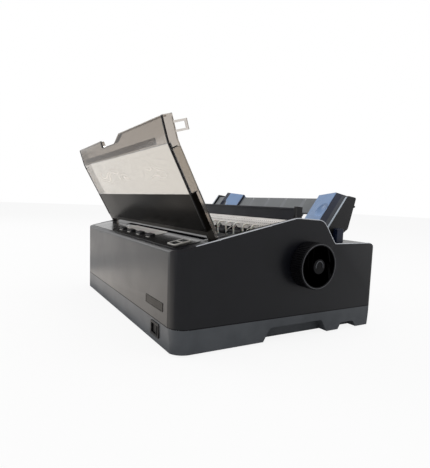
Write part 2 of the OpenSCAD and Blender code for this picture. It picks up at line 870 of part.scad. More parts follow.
module paper_guide() {
    color([0.12, 0.12, 0.13]) on_guide() {
        // front sheet
        along_x(-guide_w / 2, guide_w)
            polygon(rounded([[guide_from, 0, 0.8], [guide_len, 0, 0.8],
                [guide_len, -guide_t, 0.8], [guide_from, -guide_t, 0.8]], 3));
        // ribs behind it, that reach below it towards the platen
        for (i = [0:rib_count - 1])
            along_x((i - (rib_count - 1) / 2) * rib_pitch - 1, 2)
                polygon([[rib_from, -0.4], [guide_len - 2, -0.4], [guide_len - 2, -guide_deep * 0.7],
                    [guide_from, -guide_deep * 0.7]]);
        // upper lip
        box([-guide_w / 2, guide_len - 2, -guide_deep], [guide_w / 2, guide_len, -guide_t + eps]);
        // end plates, with an apron round the hinge
        both_sides()
            difference() {
                along_x(guide_w / 2 - guide_end_t, guide_end_t)
                    polygon(rounded(concat([[-1, guide_rim, 1], [guide_len + 2, guide_rim, 2],
                        [guide_len + 9, -guide_plate * 0.4, 2], [guide_from - 3, -guide_plate, 4]],
                        [for (p = apron) [p[0], p[1], 1.5]]), 4));
                rod_x(guide_w / 2 - guide_end_t - 1, guide_w / 2 + 1, guide_pin[0], guide_pin[1],
                    guide_pin_r + fit);
            }
    }
}

edge_over = 3;
edge_play = 0.3;
ridge_out = 12;
dish_r = 18;

// Edge guide wrapped over the top of the sheet, side 0 for the left and 1 for the right
module edge_guide(side) {
    w = edge_w[side];
    ridge = w - ridge_out;
    top = guide_len + edge_over;
    color([0.35, 0.50, 0.72]) on_guide()
        translate([guide_w / 2 - edge_in[side] - w, 0, 0]) {
            difference() {
                translate([0, top, 0]) rotate([90, 0, 0])
                    linear_extrude(height = top - edge_from[side])
                        polygon(rounded([[0, edge_play, 0], [w, edge_play, 0], [w, 2, 0.8],
                            [ridge, edge_rise, 0.8], [0, 2.6, 1]], 5));
                // finger dish
                translate([ridge - 11, guide_len * 0.5, edge_rise + dish_r - 5]) sphere(r = dish_r);
            }
            // hook over the top lip and down behind it
            box([2, guide_len + edge_play, -guide_deep - 3], [ridge, top, edge_play + 1]);
            box([2, guide_len - 5, -guide_deep - 3],
                [ridge, guide_len + 1.2, -guide_deep - edge_play - 0.6]);
        }
}

module edge_guide_right() { edge_guide(1); }
module edge_guide_left() { mirror([1, 0, 0]) edge_guide(0); }

bracket_x = guide_w / 2 + 1;
bracket_t = 7;
bracket_half = 5.5;
bracket_top = 8;

module guide_brackets() {
    color([0.09, 0.11, 0.16]) both_sides() {
        along_x(bracket_x, bracket_t)
            polygon(rounded([[guide_hinge_y - bracket_half, rear_z, 0],
                [guide_hinge_y + bracket_half, rear_z, 0],
                [guide_hinge_y + bracket_half - 0.5, guide_hinge_z + bracket_top, 1.5],
                [guide_hinge_y - bracket_half + 0.5, guide_hinge_z + bracket_top, 1.5]], 3));
        rod_x(guide_w / 2 - guide_end_t - 0.5, bracket_x + 1, guide_hinge_y, guide_hinge_z, guide_pin_r);
    }
}

// ---- Steel frame ----

carriage_y = front_y + carriage_back;
belt_y = front_y + belt_back;
tractor_y = front_y + tractor_back;
rod_y = tractor_y + rod_back;
rod_z0 = tractor_z - 4;
frame_y = [front_y + frame_from, rod_y + frame_past];
pinch_at = -60;
pinch_y = platen_y + (platen_r + nip + pinch_r) * cos(pinch_at);
pinch_z = platen_z + (platen_r + nip + pinch_r) * sin(pinch_at);
pinch_shaft_r = 3;
pinch_rolls = 4;
rail_y = belt_y - 17;
rail_top = carriage_z - 8;
post_r = 3;
board_z = 30;
// Left ends of the gears, just outside the left side frame
gear_x = -frame_x - plate_t - 1.4 - gear_w;

module base_frame() {
    color([0.72, 0.74, 0.76]) difference() {
        union() {
            box([-frame_x - plate_t, frame_y[0], base_z], [frame_x + plate_t, frame_y[1], base_top]);
            // front flange that the carriage's foot runs on
            box([-frame_x + 2, rail_y, base_top - eps], [frame_x - 2, rail_y + plate_t, rail_top]);
            // post of the idler pulley
            rod_z(-pulley_x, belt_y, base_top - eps, belt_z - 1, post_r + 2);
            rod_z(-pulley_x, belt_y, belt_z - 2, belt_z + belt_w + 2, post_r);
            // stand-offs of the board
            for (x = [board_x[0] + board_in, board_x[1] - board_in])
                for (y = [board_y0 + post_in[0], frame_y[1] - post_in[1]])
                    rod_z(x, y, base_top - eps, board_z, 3);
        }
        at_corners(screw_pitch) rod_z(0, 0, base_z - 1, base_top + 1, screw_r + fit);
    }
}

lever_y = platen_y + 34;
lever_z = 66;
gap_lever_y = carriage_y - 30;
gap_lever_z = 66;
stud_r = 3;
lever_t = 4;
release_len = 44;
gap_len = 27;
stud_len = 6.5;

// Outline shared by the two side frames
module side_frame_outline() {
    polygon(rounded([
        [frame_y[0], base_top, 0], [frame_y[1], base_top, 0], [frame_y[1], rod_z0 + 4, 6],
        [rod_y - 4, frame_top - 8, 6], [platen_y + 30, frame_top - 4, 8],
        [platen_y + 20, frame_top, 6], [platen_y - 20, frame_top, 6],
        [frame_y[0] + 6, frame_top - 6, 8], [frame_y[0], frame_top - 30, 6]
    ], 4));
}

module side_frame_holes() {
    translate([platen_y, platen_z]) circle(r = bushing_r + fit);
    translate([tractor_y, tractor_z]) circle(r = shaft_end_r + fit);
    translate([rod_y, rod_z0]) circle(r = rod_r + fit);
    translate([pinch_y, pinch_z]) circle(r = pinch_shaft_r + fit);
    translate([carriage_y, carriage_z]) circle(r = carriage_r + fit);
}

module side_frame_right() {
    color([0.74, 0.76, 0.78]) {
        along_x(frame_x, plate_t) difference() {
            side_frame_outline();
            side_frame_holes();
        }
        rod_x(frame_x + plate_t - eps, frame_x + plate_t + stud_len, lever_y, lever_z, stud_r);
    }
}

module side_frame_left() {
    color([0.74, 0.76, 0.78]) {
        along_x(-frame_x - plate_t, plate_t) difference() {
            side_frame_outline();
            side_frame_holes();
            translate([pinion_y, pinion_z]) circle(r = motor_boss_r + 0.5);
        }
        rod_x(gear_x, -frame_x - plate_t + eps, idler_y, idler_z, stud_r);
        rod_x(-frame_x - plate_t - stud_len, -frame_x - plate_t + eps, gap_lever_y, gap_lever_z, stud_r);
    }
}

module lever(x, len, reach) {
    difference() {
        along_x(x, lever_t) {
            circle(r = stud_r + 3);
            polygon([[-4.5, 0], [4.5, 0], [reach + 3, len], [reach - 3, len]]);
        }
        rod_x(x - 1, x + lever_t + 1, 0, 0, stud_r + fit);
    }
    // finger pad
    box([x - 1, reach - 4, len - 2], [x + lever_t + 1, reach + 4, len + 8]);
}

module release_lever() {
    color([0.15, 0.30, 0.55]) translate([0, lever_y, lever_z]) lever(frame_x + plate_t + 1, release_len, -6);
}

module thickness_lever() {
    color([0.12, 0.12, 0.13])
        translate([0, gap_lever_y, gap_lever_z]) lever(-frame_x - plate_t - 1 - lever_t, gap_len, 4);
}

// ---- Platen and gears ----

module platen_roller() {
    color([0.10, 0.10, 0.10]) difference() {
        rod_x(-platen_len / 2, platen_len / 2, platen_y, platen_z, platen_r);
        rod_x(-platen_len / 2 - 1, platen_len / 2 + 1, platen_y, platen_z, platen_shaft_r + fit);
    }
}

knob_from = half_w(platen_z) + knob_gap;

module platen_shaft() {
    color([0.78, 0.79, 0.80])
        rod_x(gear_x - 1, knob_from + knob_t - 5, platen_y, platen_z, platen_shaft_r);
}

module platen_bushings() {
    color([0.82, 0.82, 0.78]) both_sides() difference() {
        union() {
            rod_x(frame_x - 3, frame_x + plate_t + 0.8, platen_y, platen_z, bushing_r);
            rod_x(frame_x - 3, frame_x - fit, platen_y, platen_z, bushing_r + 2.5);
        }
        rod_x(frame_x - 4, frame_x + plate_t + 2, platen_y, platen_z, platen_shaft_r + fit);
    }
}

knurls = 60;
knurl_deep = 0.7;

module platen_knob() {
    color([0.04, 0.04, 0.045]) difference() {
        union() {
            along_x(knob_from, knob_t - 1)
                translate([platen_y, platen_z])
                    polygon([for (i = [0:3 * knurls - 1])
                        let (r = knob_r - (i % 3 == 0 ? knurl_deep : 0), a = i * 120 / knurls)
                        r * [cos(a), sin(a)]]);
            rod_x(knob_from + knob_t - 1 - eps, knob_from + knob_t, platen_y, platen_z, knob_r - 0.8);
        }
        // dished face with a finger bar left across its middle
        difference() {
            rod_x(knob_from + knob_t - 3, knob_from + knob_t + 1, platen_y, platen_z, knob_r - 3);
            rod_x(knob_from + knob_t - 4, knob_from + knob_t, platen_y, platen_z, platen_shaft_r + 3);
        }
        rod_x(knob_from - 1, knob_from + knob_t - 5 + fit, platen_y, platen_z, platen_shaft_r + fit);
    }
}

// Pitch radius of a gear
function pitch_r(n) = n * gear_mod / 2;
function inv(a) = tan(a) * 180 / PI - a;
// Half the angle that a tooth takes at radius r, with involute flanks at 20 degrees
function half_tooth(n, r) =
    let (base_r = pitch_r(n) * cos(20), turned = r > base_r ? acos(base_r / r) : 0)
    90 / n - backlash / 4 / pitch_r(n) * 180 / PI + inv(20) - inv(turned);

// Outline of a gear whose first tooth points at angle a
function gear_pts(n, a) = [
    for (i = [0:n - 1])
        for (side = [-1, 1])
            for (k = [0:4])
                let (
                    step = side < 0 ? k : 4 - k,
                    r = pitch_r(n) + gear_mod * (-1.2 + 2.15 * step / 4),
                    at = a + i * 360 / n + side * half_tooth(n, r)
                )
                r * [cos(at), sin(at)]
];

// Angle of a tooth on a driven gear that meshes with teeth n1 at angle a1, in direction dir
function mesh_angle(n1, a1, n2, dir) = dir + 180 - (180 + n1 * (a1 - dir)) / n2;

// Idler that meshes with both the platen gear and the tractor gear, below the line between them
idler_far = pitch_r(platen_teeth + idler_teeth);
idler_near = pitch_r(idler_teeth + tractor_teeth);
gear_line = [tractor_y - platen_y, tractor_z - platen_z];
gear_line_len = norm(gear_line);
idler_lift = acos((idler_far * idler_far + gear_line_len * gear_line_len - idler_near * idler_near)
    / (2 * idler_far * gear_line_len));
idler_dir = atan2(gear_line[1], gear_line[0]) - idler_lift;
idler_y = platen_y + idler_far * cos(idler_dir);
idler_z = platen_z + idler_far * sin(idler_dir);
tractor_dir = atan2(tractor_z - idler_z, tractor_y - idler_y);
pinion_far = pitch_r(platen_teeth + pinion_teeth);
pinion_y = platen_y + pinion_far * cos(pinion_dir);
pinion_z = platen_z + pinion_far * sin(pinion_dir);
idler_a = mesh_angle(platen_teeth, 0, idler_teeth, idler_dir);
tractor_a = mesh_angle(idler_teeth, idler_a, tractor_teeth, tractor_dir);
pinion_a = mesh_angle(platen_teeth, 0, pinion_teeth, pinion_dir);

module gear(n, a, y, z, bore) {
    difference() {
        along_x(gear_x, gear_w) translate([y, z]) polygon(gear_pts(n, a));
        rod_x(gear_x - 1, gear_x + gear_w + 1, y, z, bore + fit);
    }
}

module platen_gear() {
    color([0.86, 0.86, 0.82]) gear(platen_teeth, 0, platen_y, platen_z, platen_shaft_r);
}

module idler_gear() {
    color([0.86, 0.86, 0.82]) gear(idler_teeth, idler_a, idler_y, idler_z, stud_r);
}

module tractor_gear() {
    color([0.86, 0.86, 0.82]) gear(tractor_teeth, tractor_a, tractor_y, tractor_z, shaft_end_r);
}

motor_shaft_r = 2;
motor_boss_r = 5;
motor_r = 17.5;
motor_len = 20;

module feed_pinion() {
    color([0.80, 0.72, 0.45]) {
        gear(pinion_teeth, pinion_a, pinion_y, pinion_z, motor_shaft_r - 2 * fit);
        rod_x(gear_x - 1, -frame_x + 6, pinion_y, pinion_z, motor_shaft_r);
    }
}

module feed_motor() {
    color([0.30, 0.31, 0.33]) difference() {
        union() {
            rod_x(-frame_x + fit, -frame_x + motor_len, pinion_y, pinion_z, motor_r);
            rod_x(-frame_x - plate_t, -frame_x + 1, pinion_y, pinion_z, motor_boss_r);
        }
        rod_x(-frame_x - plate_t - 1, -frame_x + 8, pinion_y, pinion_z, motor_shaft_r + fit);
    }
}

module pinch_rollers() {
    rod_end = frame_x + plate_t + 1;
    color([0.20, 0.20, 0.20]) {
        rod_x(-rod_end, rod_end, pinch_y, pinch_z, pinch_shaft_r);
        for (i = [0:pinch_rolls - 1])
            translate([(i - (pinch_rolls - 1) / 2) * platen_len / pinch_rolls, 0, 0]) difference() {
                rod_x(-12, 12, pinch_y, pinch_z, pinch_r);
                rod_x(-13, 13, pinch_y, pinch_z, pinch_shaft_r - eps);
            }
    }
}

// ---- Tractors ----

shaft_end_r = 4;
sprocket_pins = 6;
sprocket_r = pin_pitch * sprocket_pins / (2 * PI);
sprocket_w = 6;
hub_r = 5.5;
tractor_side_t = (tractor_w - sprocket_w - 0.8) / 2;
lid_hinge_r = 1.6;
lid_t = 2;
lid_seat = 0.3;
lid_z = tractor_z + sprocket_r + 1.2;
lid_span = [tractor_y - 12, rod_y + 4];

module tractor_shaft() {
    color([0.78, 0.79, 0.80]) {
        box([-frame_x + 2, tractor_y - square / 2, tractor_z - square / 2],
            [frame_x - 2, tractor_y + square / 2, tractor_z + square / 2]);
        rod_x(frame_x - 3, frame_x + plate_t + 1, tractor_y, tractor_z, shaft_end_r);
        rod_x(gear_x - 1, -frame_x + 3, tractor_y, tractor_z, shaft_end_r);
    }
}

module tractor_rod() {
    color([0.78, 0.79, 0.80]) rod_x(-frame_x - plate_t - 0.5, frame_x + plate_t + 0.5, rod_y, rod_z0, rod_r);
}

// Sprocket with pins, on a hub that carries the tractor's sides
module sprocket(x) {
    color([0.88, 0.88, 0.85]) translate([x, tractor_y, tractor_z]) difference() {
        union() {
            rod_x(-sprocket_w / 2, sprocket_w / 2, 0, 0, sprocket_r - 0.6);
            rod_x(-tractor_w / 2, tractor_w / 2, 0, 0, hub_r);
            for (i = [0:sprocket_pins - 1])
                rotate([i * 360 / sprocket_pins, 0, 0])
                    translate([0, 0, sprocket_r - 2]) cylinder(h = 3.6, r1 = 2, r2 = 1.3);
        }
        box([-tractor_w, -square / 2 - fit, -square / 2 - fit],
            [tractor_w, square / 2 + fit, square / 2 + fit]);
    }
}

module sprocket_left() { sprocket(-tractor_x); }
module sprocket_right() { sprocket(tractor_x); }

// Tractor for the right side, in its own frame across the machine
module tractor_body() {
    outer = tractor_w / 2;
    color([0.10, 0.10, 0.11]) difference() {
        union() {
            for (x = [-outer, outer - tractor_side_t])
                along_x(x, tractor_side_t)
                    polygon(rounded([[tractor_y - 11, tractor_z - 12, 4], [rod_y + 7, rod_z0 - 7, 4],
                        [rod_y + 7, lid_z - lid_seat, 2], [tractor_y - 11, lid_z - lid_seat, 2]], 4));
            // bridge between the sides, round the rod
            rod_x(-outer, outer, rod_y, rod_z0, rod_r + 2.5);
            // ears of the lid
            for (y = [lid_span[0] + 6, lid_span[1] - 9])
                along_y(y, 4) {
                    translate([outer + 1.2, lid_z]) circle(r = lid_hinge_r + 1.4);
                    polygon([[outer - 1, lid_z - 10], [outer + 1.2, lid_z - 3], [outer + 1.2, lid_z],
                        [outer - 1, lid_z - 1.2]]);
                }
        }
        rod_x(-tractor_w, tractor_w, tractor_y, tractor_z, hub_r + fit);
        rod_x(-tractor_w, tractor_w, rod_y, rod_z0, rod_r + fit);
        translate([outer + 1.2, lid_span[0] - 1, lid_z]) rotate([-90, 0, 0])
            cylinder(h = lid_span[1] - lid_span[0] + 4, r = lid_hinge_r + fit);
    }
}

// Lid that holds the paper on the pins, hinged along the tractor's outer side
module tractor_lid() {
    outer = tractor_w / 2;
    pin_y = [lid_span[0] + 4, lid_span[1] - 3];
    color([0.30, 0.32, 0.36]) {
        difference() {
            box([-outer, lid_span[0], lid_z], [outer - 1.8, lid_span[1], lid_z + lid_t]);
            box([-3, tractor_y - 9, lid_z - 1], [3, tractor_y + 9, lid_z + lid_t + 1]);
        }
        translate([outer + 1.2, pin_y[0], lid_z]) rotate([-90, 0, 0])
            cylinder(h = pin_y[1] - pin_y[0], r = lid_hinge_r);
        for (y = [lid_span[0] + 14, lid_span[1] - 16])
            box([outer - 2, y, lid_z], [outer + 1.2, y + 3, lid_z + lid_t * 0.7]);
    }
}

module tractor_right() { translate([tractor_x, 0, 0]) tractor_body(); }
module tractor_left() { mirror([1, 0, 0]) tractor_right(); }
module tractor_lid_right() { translate([tractor_x, 0, 0]) tractor_lid(); }
module tractor_lid_left() { mirror([1, 0, 0]) tractor_lid_right(); }

// ---- Carriage ----

nose_y = platen_y - platen_r - head_gap;
carriage_top = carriage_z + 11;
slide_gap = 0.3;

module carriage_shaft() {
    color([0.80, 0.81, 0.82])
        rod_x(-frame_x - plate_t - 0.5, frame_x + plate_t + 0.5, carriage_y, carriage_z, carriage_r);
}

module carriage() {
    w = carriage_w / 2;
    grab_y = belt_y - pulley_r - belt_t / 2;
    color([0.08, 0.08, 0.09]) translate([carriage_park, 0, 0]) difference() {
        union() {
            rod_x(-w, w, carriage_y, carriage_z, carriage_r + 3.5);
            box([-w, rail_y - 4, carriage_top - 6], [w, nose_y - 14, carriage_top]);
            box([-w, carriage_y - 8, carriage_z], [w, carriage_y + 8, carriage_top - 3]);
            // clamp on the belt
            box([-8, grab_y - 4, belt_z - 2], [8, grab_y + 3.5, carriage_top - 4]);
            // foot on the front flange
            box([-w, rail_y - 4, rail_top - 6], [w, rail_y + plate_t + 3, carriage_top - 4]);
        }
        rod_x(-w - 1, w + 1, carriage_y, carriage_z, carriage_r + fit);
        box([-9, grab_y - belt_t / 2 - slide_gap, belt_z - slide_gap],
            [9, grab_y + belt_t / 2 + slide_gap, belt_z + belt_w + slide_gap]);
        box([-w - 1, rail_y - slide_gap, rail_top - 7],
            [w + 1, rail_y + plate_t + slide_gap, rail_top + slide_gap]);
    }
}

head_w = 30;
head_back = carriage_y - 12;
fins = 6;

module print_head() {
    h0 = carriage_top;
    color([0.24, 0.25, 0.27]) translate([carriage_park, 0, 0]) {
        box([-head_w / 2, head_back, h0], [head_w / 2, nose_y - 12, h0 + 6]);
        // cooling fins
        for (i = [0:fins - 1])
            box([-head_w / 2 + i * (head_w - 2) / (fins - 1), head_back, h0 + 6 - eps],
                [-head_w / 2 + 2 + i * (head_w - 2) / (fins - 1), nose_y - 14, platen_z + 10]);
        // nose with the wires' guide
        along_x(-5, 10)
            polygon([[nose_y - 12 - eps, h0], [nose_y - 6, h0 + 2],
                [nose_y, platen_z - 4], [nose_y, platen_z + 4],
                [nose_y - 6, platen_z + 8], [nose_y - 15, platen_z + 8], [nose_y - 15, h0 + 2]]);
    }
}

pulley_gap = 0.3;
stator_r = 14;

module pulley(x, bore) {
    difference() {
        union() {
            rod_z(x, belt_y, belt_z - 0.5, belt_z + belt_w + 0.5, pulley_r - pulley_gap);
            rod_z(x, belt_y, belt_z + belt_w + 0.4, belt_z + belt_w + 1.4, pulley_r + 1.6);
            rod_z(x, belt_y, belt_z - 1.4 + 0.4, belt_z - 0.4, pulley_r + 1.6);
        }
        rod_z(x, belt_y, belt_z - 3, belt_z + belt_w + 3, bore);
    }
}

module idler_pulley() { color([0.85, 0.85, 0.82]) pulley(-pulley_x, post_r + fit); }

module motor_pulley() {
    color([0.80, 0.72, 0.45]) {
        pulley(pulley_x, motor_shaft_r - 2 * fit);
        rod_z(pulley_x, belt_y, belt_z - 14, belt_z + belt_w + 2, motor_shaft_r);
    }
}

module carriage_motor() {
    top = belt_z - 2.4;
    color([0.30, 0.31, 0.33]) difference() {
        union() {
            rod_z(pulley_x, belt_y, base_top, top - 2, stator_r);
            rod_z(pulley_x, belt_y, top - 2 - eps, top, motor_boss_r);
        }
        rod_z(pulley_x, belt_y, belt_z - 16, top + 1, motor_shaft_r + fit);
    }
}

module timing_belt() {
    color([0.06, 0.06, 0.06]) difference() {
        belt_loop(pulley_r + belt_t, belt_w);
        translate([0, 0, -1]) belt_loop(pulley_r, belt_w + 2);
    }
}

module belt_loop(r, h) {
    translate([0, belt_y, belt_z]) {
        translate([-pulley_x, -r, 0]) cube([2 * pulley_x, 2 * r, h]);
        for (s = [-1, 1]) translate([s * pulley_x, 0, 0]) cylinder(h = h, r = r);
    }
}

// ---- Ribbon ----

ribbon_y = [front_y + ribbon_from, head_back - ribbon_clear];
ribbon_arm = 7;
ribbon_face = nose_y + 0.5;
ribbon_t = 0.4;
ribbon_band = 12;
ribbon_knob_x = carriage_park - 4;
ribbon_knob_y = (ribbon_y[0] + ribbon_y[1]) / 2;

module ribbon_cartridge() {
    top = ribbon_z + ribbon_h;
    color([0.07, 0.07, 0.08]) difference() {
        union() {
            box([-ribbon_w / 2, ribbon_y[0], ribbon_z], [ribbon_w / 2, ribbon_y[1], top]);
            both_sides() {
                box([ribbon_w / 2 - ribbon_arm, ribbon_y[1] - eps, ribbon_z - 8],
                    [ribbon_w / 2, ribbon_face + 2, top - 2]);
                // lug on the side frame
                box([ribbon_w / 2 - eps, ribbon_y[0] + 8, ribbon_z + 1],
                    [frame_x - slide_gap, ribbon_y[1] - 8, ribbon_z + 5]);
            }
        }
        rod_z(ribbon_knob_x, ribbon_knob_y, top - 8, top + 1, 3 + fit);
    }
}

module ribbon_knob() {
    top = ribbon_z + ribbon_h;
    color([0.10, 0.10, 0.11]) {
        rod_z(ribbon_knob_x, ribbon_knob_y, top - 6, top + 1, 3);
        translate([ribbon_knob_x, ribbon_knob_y, top + 0.4])
            linear_extrude(height = 5)
                polygon([for (i = [0:47]) (9 - (i % 2) * 0.8) * [cos(i * 7.5), sin(i * 7.5)]]);
    }
}

module ink_ribbon() {
    side = ribbon_w / 2 - ribbon_arm;
    color([0.02, 0.02, 0.03])
        box([-side, ribbon_face, platen_z - ribbon_band / 2],
            [side, ribbon_face + ribbon_t, platen_z + ribbon_band / 2]);
}

// ---- Electronics ----

board_y0 = tractor_y - 34;
board_y1 = frame_y[1] + 9.4;
post_in = [8, 6];
board_x = [8.8 - frame_x, frame_x - 48.8];
board_in = 20;
port_in = [44, 102, 150];
port_x = [for (p = port_in) board_x[0] + p];
port_w = [60, 32, 13];
port_h = [15, 12, 11];
inlet_x = case_w / 2 - 50;
inlet_z = 44;
inlet_size = [27.4, 20];
inlet_deep = 26;
board_t = 1.6;
// Processor and memory, and the first capacitor, from the board's front left corner
chip_at = [[80, 14], [120, 16]];
chip_size = [[22, 22, 2.4], [34, 10, 3.4]];
can_at = [180, 18];
can_pitch = 14;
can_r = 5;
can_h = 15.4;

module main_board() {
    corner = [board_x[0], board_y0, board_z];
    color([0.10, 0.35, 0.18]) {
        box(corner, [board_x[1], board_y1, board_z + board_t]);
        // processor, memory and smoothing capacitors
        for (i = [0, 1])
            box(corner + [chip_at[i][0], chip_at[i][1], board_t - eps],
                corner + [chip_at[i][0], chip_at[i][1], board_t] + chip_size[i]);
        for (i = [0:2])
            rod_z(board_x[0] + can_at[0] + i * can_pitch, board_y0 + can_at[1],
                board_z + board_t - eps, board_z + board_t + can_h, can_r);
    }
}

module port_cuts() {
    for (i = [0:2])
        box([port_x[i] - port_w[i] / 2 - cap_gap, rear_y - 6, board_z + board_t - 2 * cap_gap],
            [port_x[i] + port_w[i] / 2 + cap_gap, rear_y + 4, board_z + board_t + port_h[i] + 3 * cap_gap]);
}

// Parallel, serial and USB sockets that stand on the board and show in the rear wall
module interface_ports() {
    y1 = rear_y + 1.2;
    color([0.66, 0.67, 0.69])
        for (i = [0:2])
            difference() {
                box([port_x[i] - port_w[i] / 2, board_y1 - 14, board_z + board_t],
                    [port_x[i] + port_w[i] / 2, y1, board_z + board_t + port_h[i]]);
                difference() {
                    box([port_x[i] - port_w[i] / 2 + 1.5, y1 - 7, board_z + board_t + 1.8],
                        [port_x[i] + port_w[i] / 2 - 1.5, y1 + 1, board_z + board_t + port_h[i] - 1.6]);
                    box([port_x[i] - port_w[i] / 2 + 4, y1 - 8, board_z + board_t + port_h[i] / 2 - 1],
                        [port_x[i] + port_w[i] / 2 - 4, y1 - 1, board_z + board_t + port_h[i] / 2 + 1]);
                }
            }
}

module inlet_cut() {
    box([inlet_x - inlet_size[0] / 2 - cap_gap, rear_y - 8, inlet_z - inlet_size[1] / 2 - cap_gap],
        [inlet_x + inlet_size[0] / 2 + cap_gap, rear_y + 4, inlet_z + inlet_size[1] / 2 + cap_gap]);
}

// Three-pole mains inlet with its flange on the rear wall
module power_inlet() {
    y1 = rear_y + 2.6;
    color([0.05, 0.05, 0.05]) difference() {
        box([inlet_x - inlet_size[0] / 2, y1 - inlet_deep, inlet_z - inlet_size[1] / 2],
            [inlet_x + inlet_size[0] / 2, y1, inlet_z + inlet_size[1] / 2]);
        along_y(y1 - 15, 16)
            translate([inlet_x, inlet_z])
                polygon(rounded([[-12, -8, 1], [12, -8, 1], [12, 3, 1],
                    [8, 8, 1], [-8, 8, 1], [-12, 3, 1]], 3));
    }
    color([0.75, 0.76, 0.77])
        for (p = [[-7, -2], [7, -2], [0, 3]])
            box([inlet_x + p[0] - 1, y1 - 16, inlet_z + p[1] - 2],
                [inlet_x + p[0] + 1, y1 - 5, inlet_z + p[1] + 2]);
}

supply_x = [-30, frame_x - 36.8];
supply_span = [40, 72];
supply_y = [front_y + supply_span[0], front_y + supply_span[1]];
supply_h = 50;

module power_supply() {
    color([0.70, 0.71, 0.72]) {
        difference() {
            box([supply_x[0], supply_y[0], base_top], [supply_x[1], supply_y[1], base_top + supply_h]);
            for (x = [supply_x[0] + 10:8:supply_x[1] - 14])
                box([x, supply_y[0] - 1, base_top + 12], [x + 4, supply_y[0] + 3, base_top + supply_h - 10]);
        }
    }
}

lower_case();
upper_case();
control_panel();
status_plate();
led_lenses();
feed_button();
load_button();
font_button();
pause_button();
power_switch();
switch_bezel();
rubber_feet();
case_screws();
interface_ports();
power_inlet();
badge_plate();
cover_window();
cover_frame();
tension_bar();
tension_arms();
tension_rollers();
paper_guide();
edge_guide_left();
edge_guide_right();
guide_brackets();
base_frame();
side_frame_left();
side_frame_right();
platen_roller();
platen_shaft();
platen_bushings();
platen_knob();
platen_gear();
pinch_rollers();
idler_gear();
feed_motor();
feed_pinion();
tractor_gear();
tractor_shaft();
tractor_rod();
tractor_left();
tractor_right();
tractor_lid_left();
tractor_lid_right();
sprocket_left();
sprocket_right();
carriage_shaft();
carriage();
print_head();
carriage_motor();
motor_pulley();
idler_pulley();
timing_belt();
ribbon_cartridge();
ribbon_knob();
ink_ribbon();
release_lever();
thickness_lever();
main_board();
power_supply();
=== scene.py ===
# %% [markdown]
# # A desktop dot matrix printer, open for loading
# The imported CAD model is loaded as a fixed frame, in metres: X to the right, Y to the rear, Z up.
# Each cell then gives one part of the machine its finish or its fine shape, and says how the real
# part is made. Every size comes from the frame or is given in millimetres.

# %% Load the frame
import json
import math

import bmesh
import bpy
import numpy as np
from mathutils.bvhtree import BVHTree
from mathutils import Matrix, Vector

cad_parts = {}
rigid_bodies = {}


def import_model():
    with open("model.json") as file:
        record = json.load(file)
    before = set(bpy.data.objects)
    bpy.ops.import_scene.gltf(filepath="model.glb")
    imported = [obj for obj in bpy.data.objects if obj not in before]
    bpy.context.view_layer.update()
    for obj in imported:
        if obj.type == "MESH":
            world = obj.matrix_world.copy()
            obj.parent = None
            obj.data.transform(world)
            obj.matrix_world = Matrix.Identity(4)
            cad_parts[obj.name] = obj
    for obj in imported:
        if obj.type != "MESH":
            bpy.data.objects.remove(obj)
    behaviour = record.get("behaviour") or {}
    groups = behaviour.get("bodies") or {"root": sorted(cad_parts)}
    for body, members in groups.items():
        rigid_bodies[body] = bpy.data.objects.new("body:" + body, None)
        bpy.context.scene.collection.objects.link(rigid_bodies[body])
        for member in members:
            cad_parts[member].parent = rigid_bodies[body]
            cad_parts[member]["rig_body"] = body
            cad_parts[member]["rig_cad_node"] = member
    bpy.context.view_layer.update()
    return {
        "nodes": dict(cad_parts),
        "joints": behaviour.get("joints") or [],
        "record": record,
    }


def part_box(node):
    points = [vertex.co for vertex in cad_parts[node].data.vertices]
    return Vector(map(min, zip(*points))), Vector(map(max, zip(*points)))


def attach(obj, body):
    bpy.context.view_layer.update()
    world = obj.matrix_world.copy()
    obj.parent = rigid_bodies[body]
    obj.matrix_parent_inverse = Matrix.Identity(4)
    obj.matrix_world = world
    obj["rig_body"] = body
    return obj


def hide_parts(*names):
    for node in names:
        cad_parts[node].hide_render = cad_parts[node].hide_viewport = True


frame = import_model()
nodes = frame["nodes"]
body_of = {n: b for b, ns in frame["record"]["behaviour"]["bodies"].items() for n in ns}
joints = {j["name"]: j for j in frame["joints"]}
MM = 0.001


def corners(node):
    """Lowest and highest corner of a CAD node, in millimetres, as numpy arrays."""
    low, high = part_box(node)
    return np.array(low) / MM, np.array(high) / MM


# %% [markdown]
# ## Local frames
# The deck slopes, the open cover stands up from its hinge and the paper guide leans back. Fine
# parts on them are easiest to place in millimetres along and out of each surface, so each surface
# gets a frame of its own: an origin, a direction up the surface and a normal. The cover's angle is
# the opening range of its hinge on top of the deck's own slope.

# %% Frames of the deck, the cover and the paper guide


class Surface:
    """A place on the machine: x across it, up along the slope and out along the normal, in mm."""

    def __init__(self, origin, angle, body):
        turned = math.radians(angle)
        self.origin, self.body = np.array(origin, float), body
        self.up = np.array([0, math.cos(turned), math.sin(turned)])
        self.out = np.array([0, -math.sin(turned), math.cos(turned)])

    def at(self, x, s, out):
        """Points in the machine's frame: origin + x along X + s up the slope + out along the normal."""
        x, s, out = np.broadcast_arrays(x, s, out)
        return self.origin + x[..., None] * [1, 0, 0] + s[..., None] * self.up + out[..., None] * self.out


press = joints["feed_button_press"]["axis"]
deck_angle = math.degrees(math.atan2(press[1], -press[2]))
hinge = np.array(joints["cover_hinge"]["pos_m"]) / MM
cover_open = -joints["cover_hinge"]["range_deg"][0]
deck_front = (-133, 100.3)
guide_foot, guide_angle = (76, 119), 53.6
deck = Surface((0, *deck_front), deck_angle, "chassis")
cover = Surface((0, hinge[1], hinge[2]), deck_angle + cover_open, "cover")
guide = Surface((0, *guide_foot), guide_angle, "paper_guide")
print("deck slopes", round(deck_angle, 2), "and the cover stands at", round(deck_angle + cover_open, 2), "degrees")

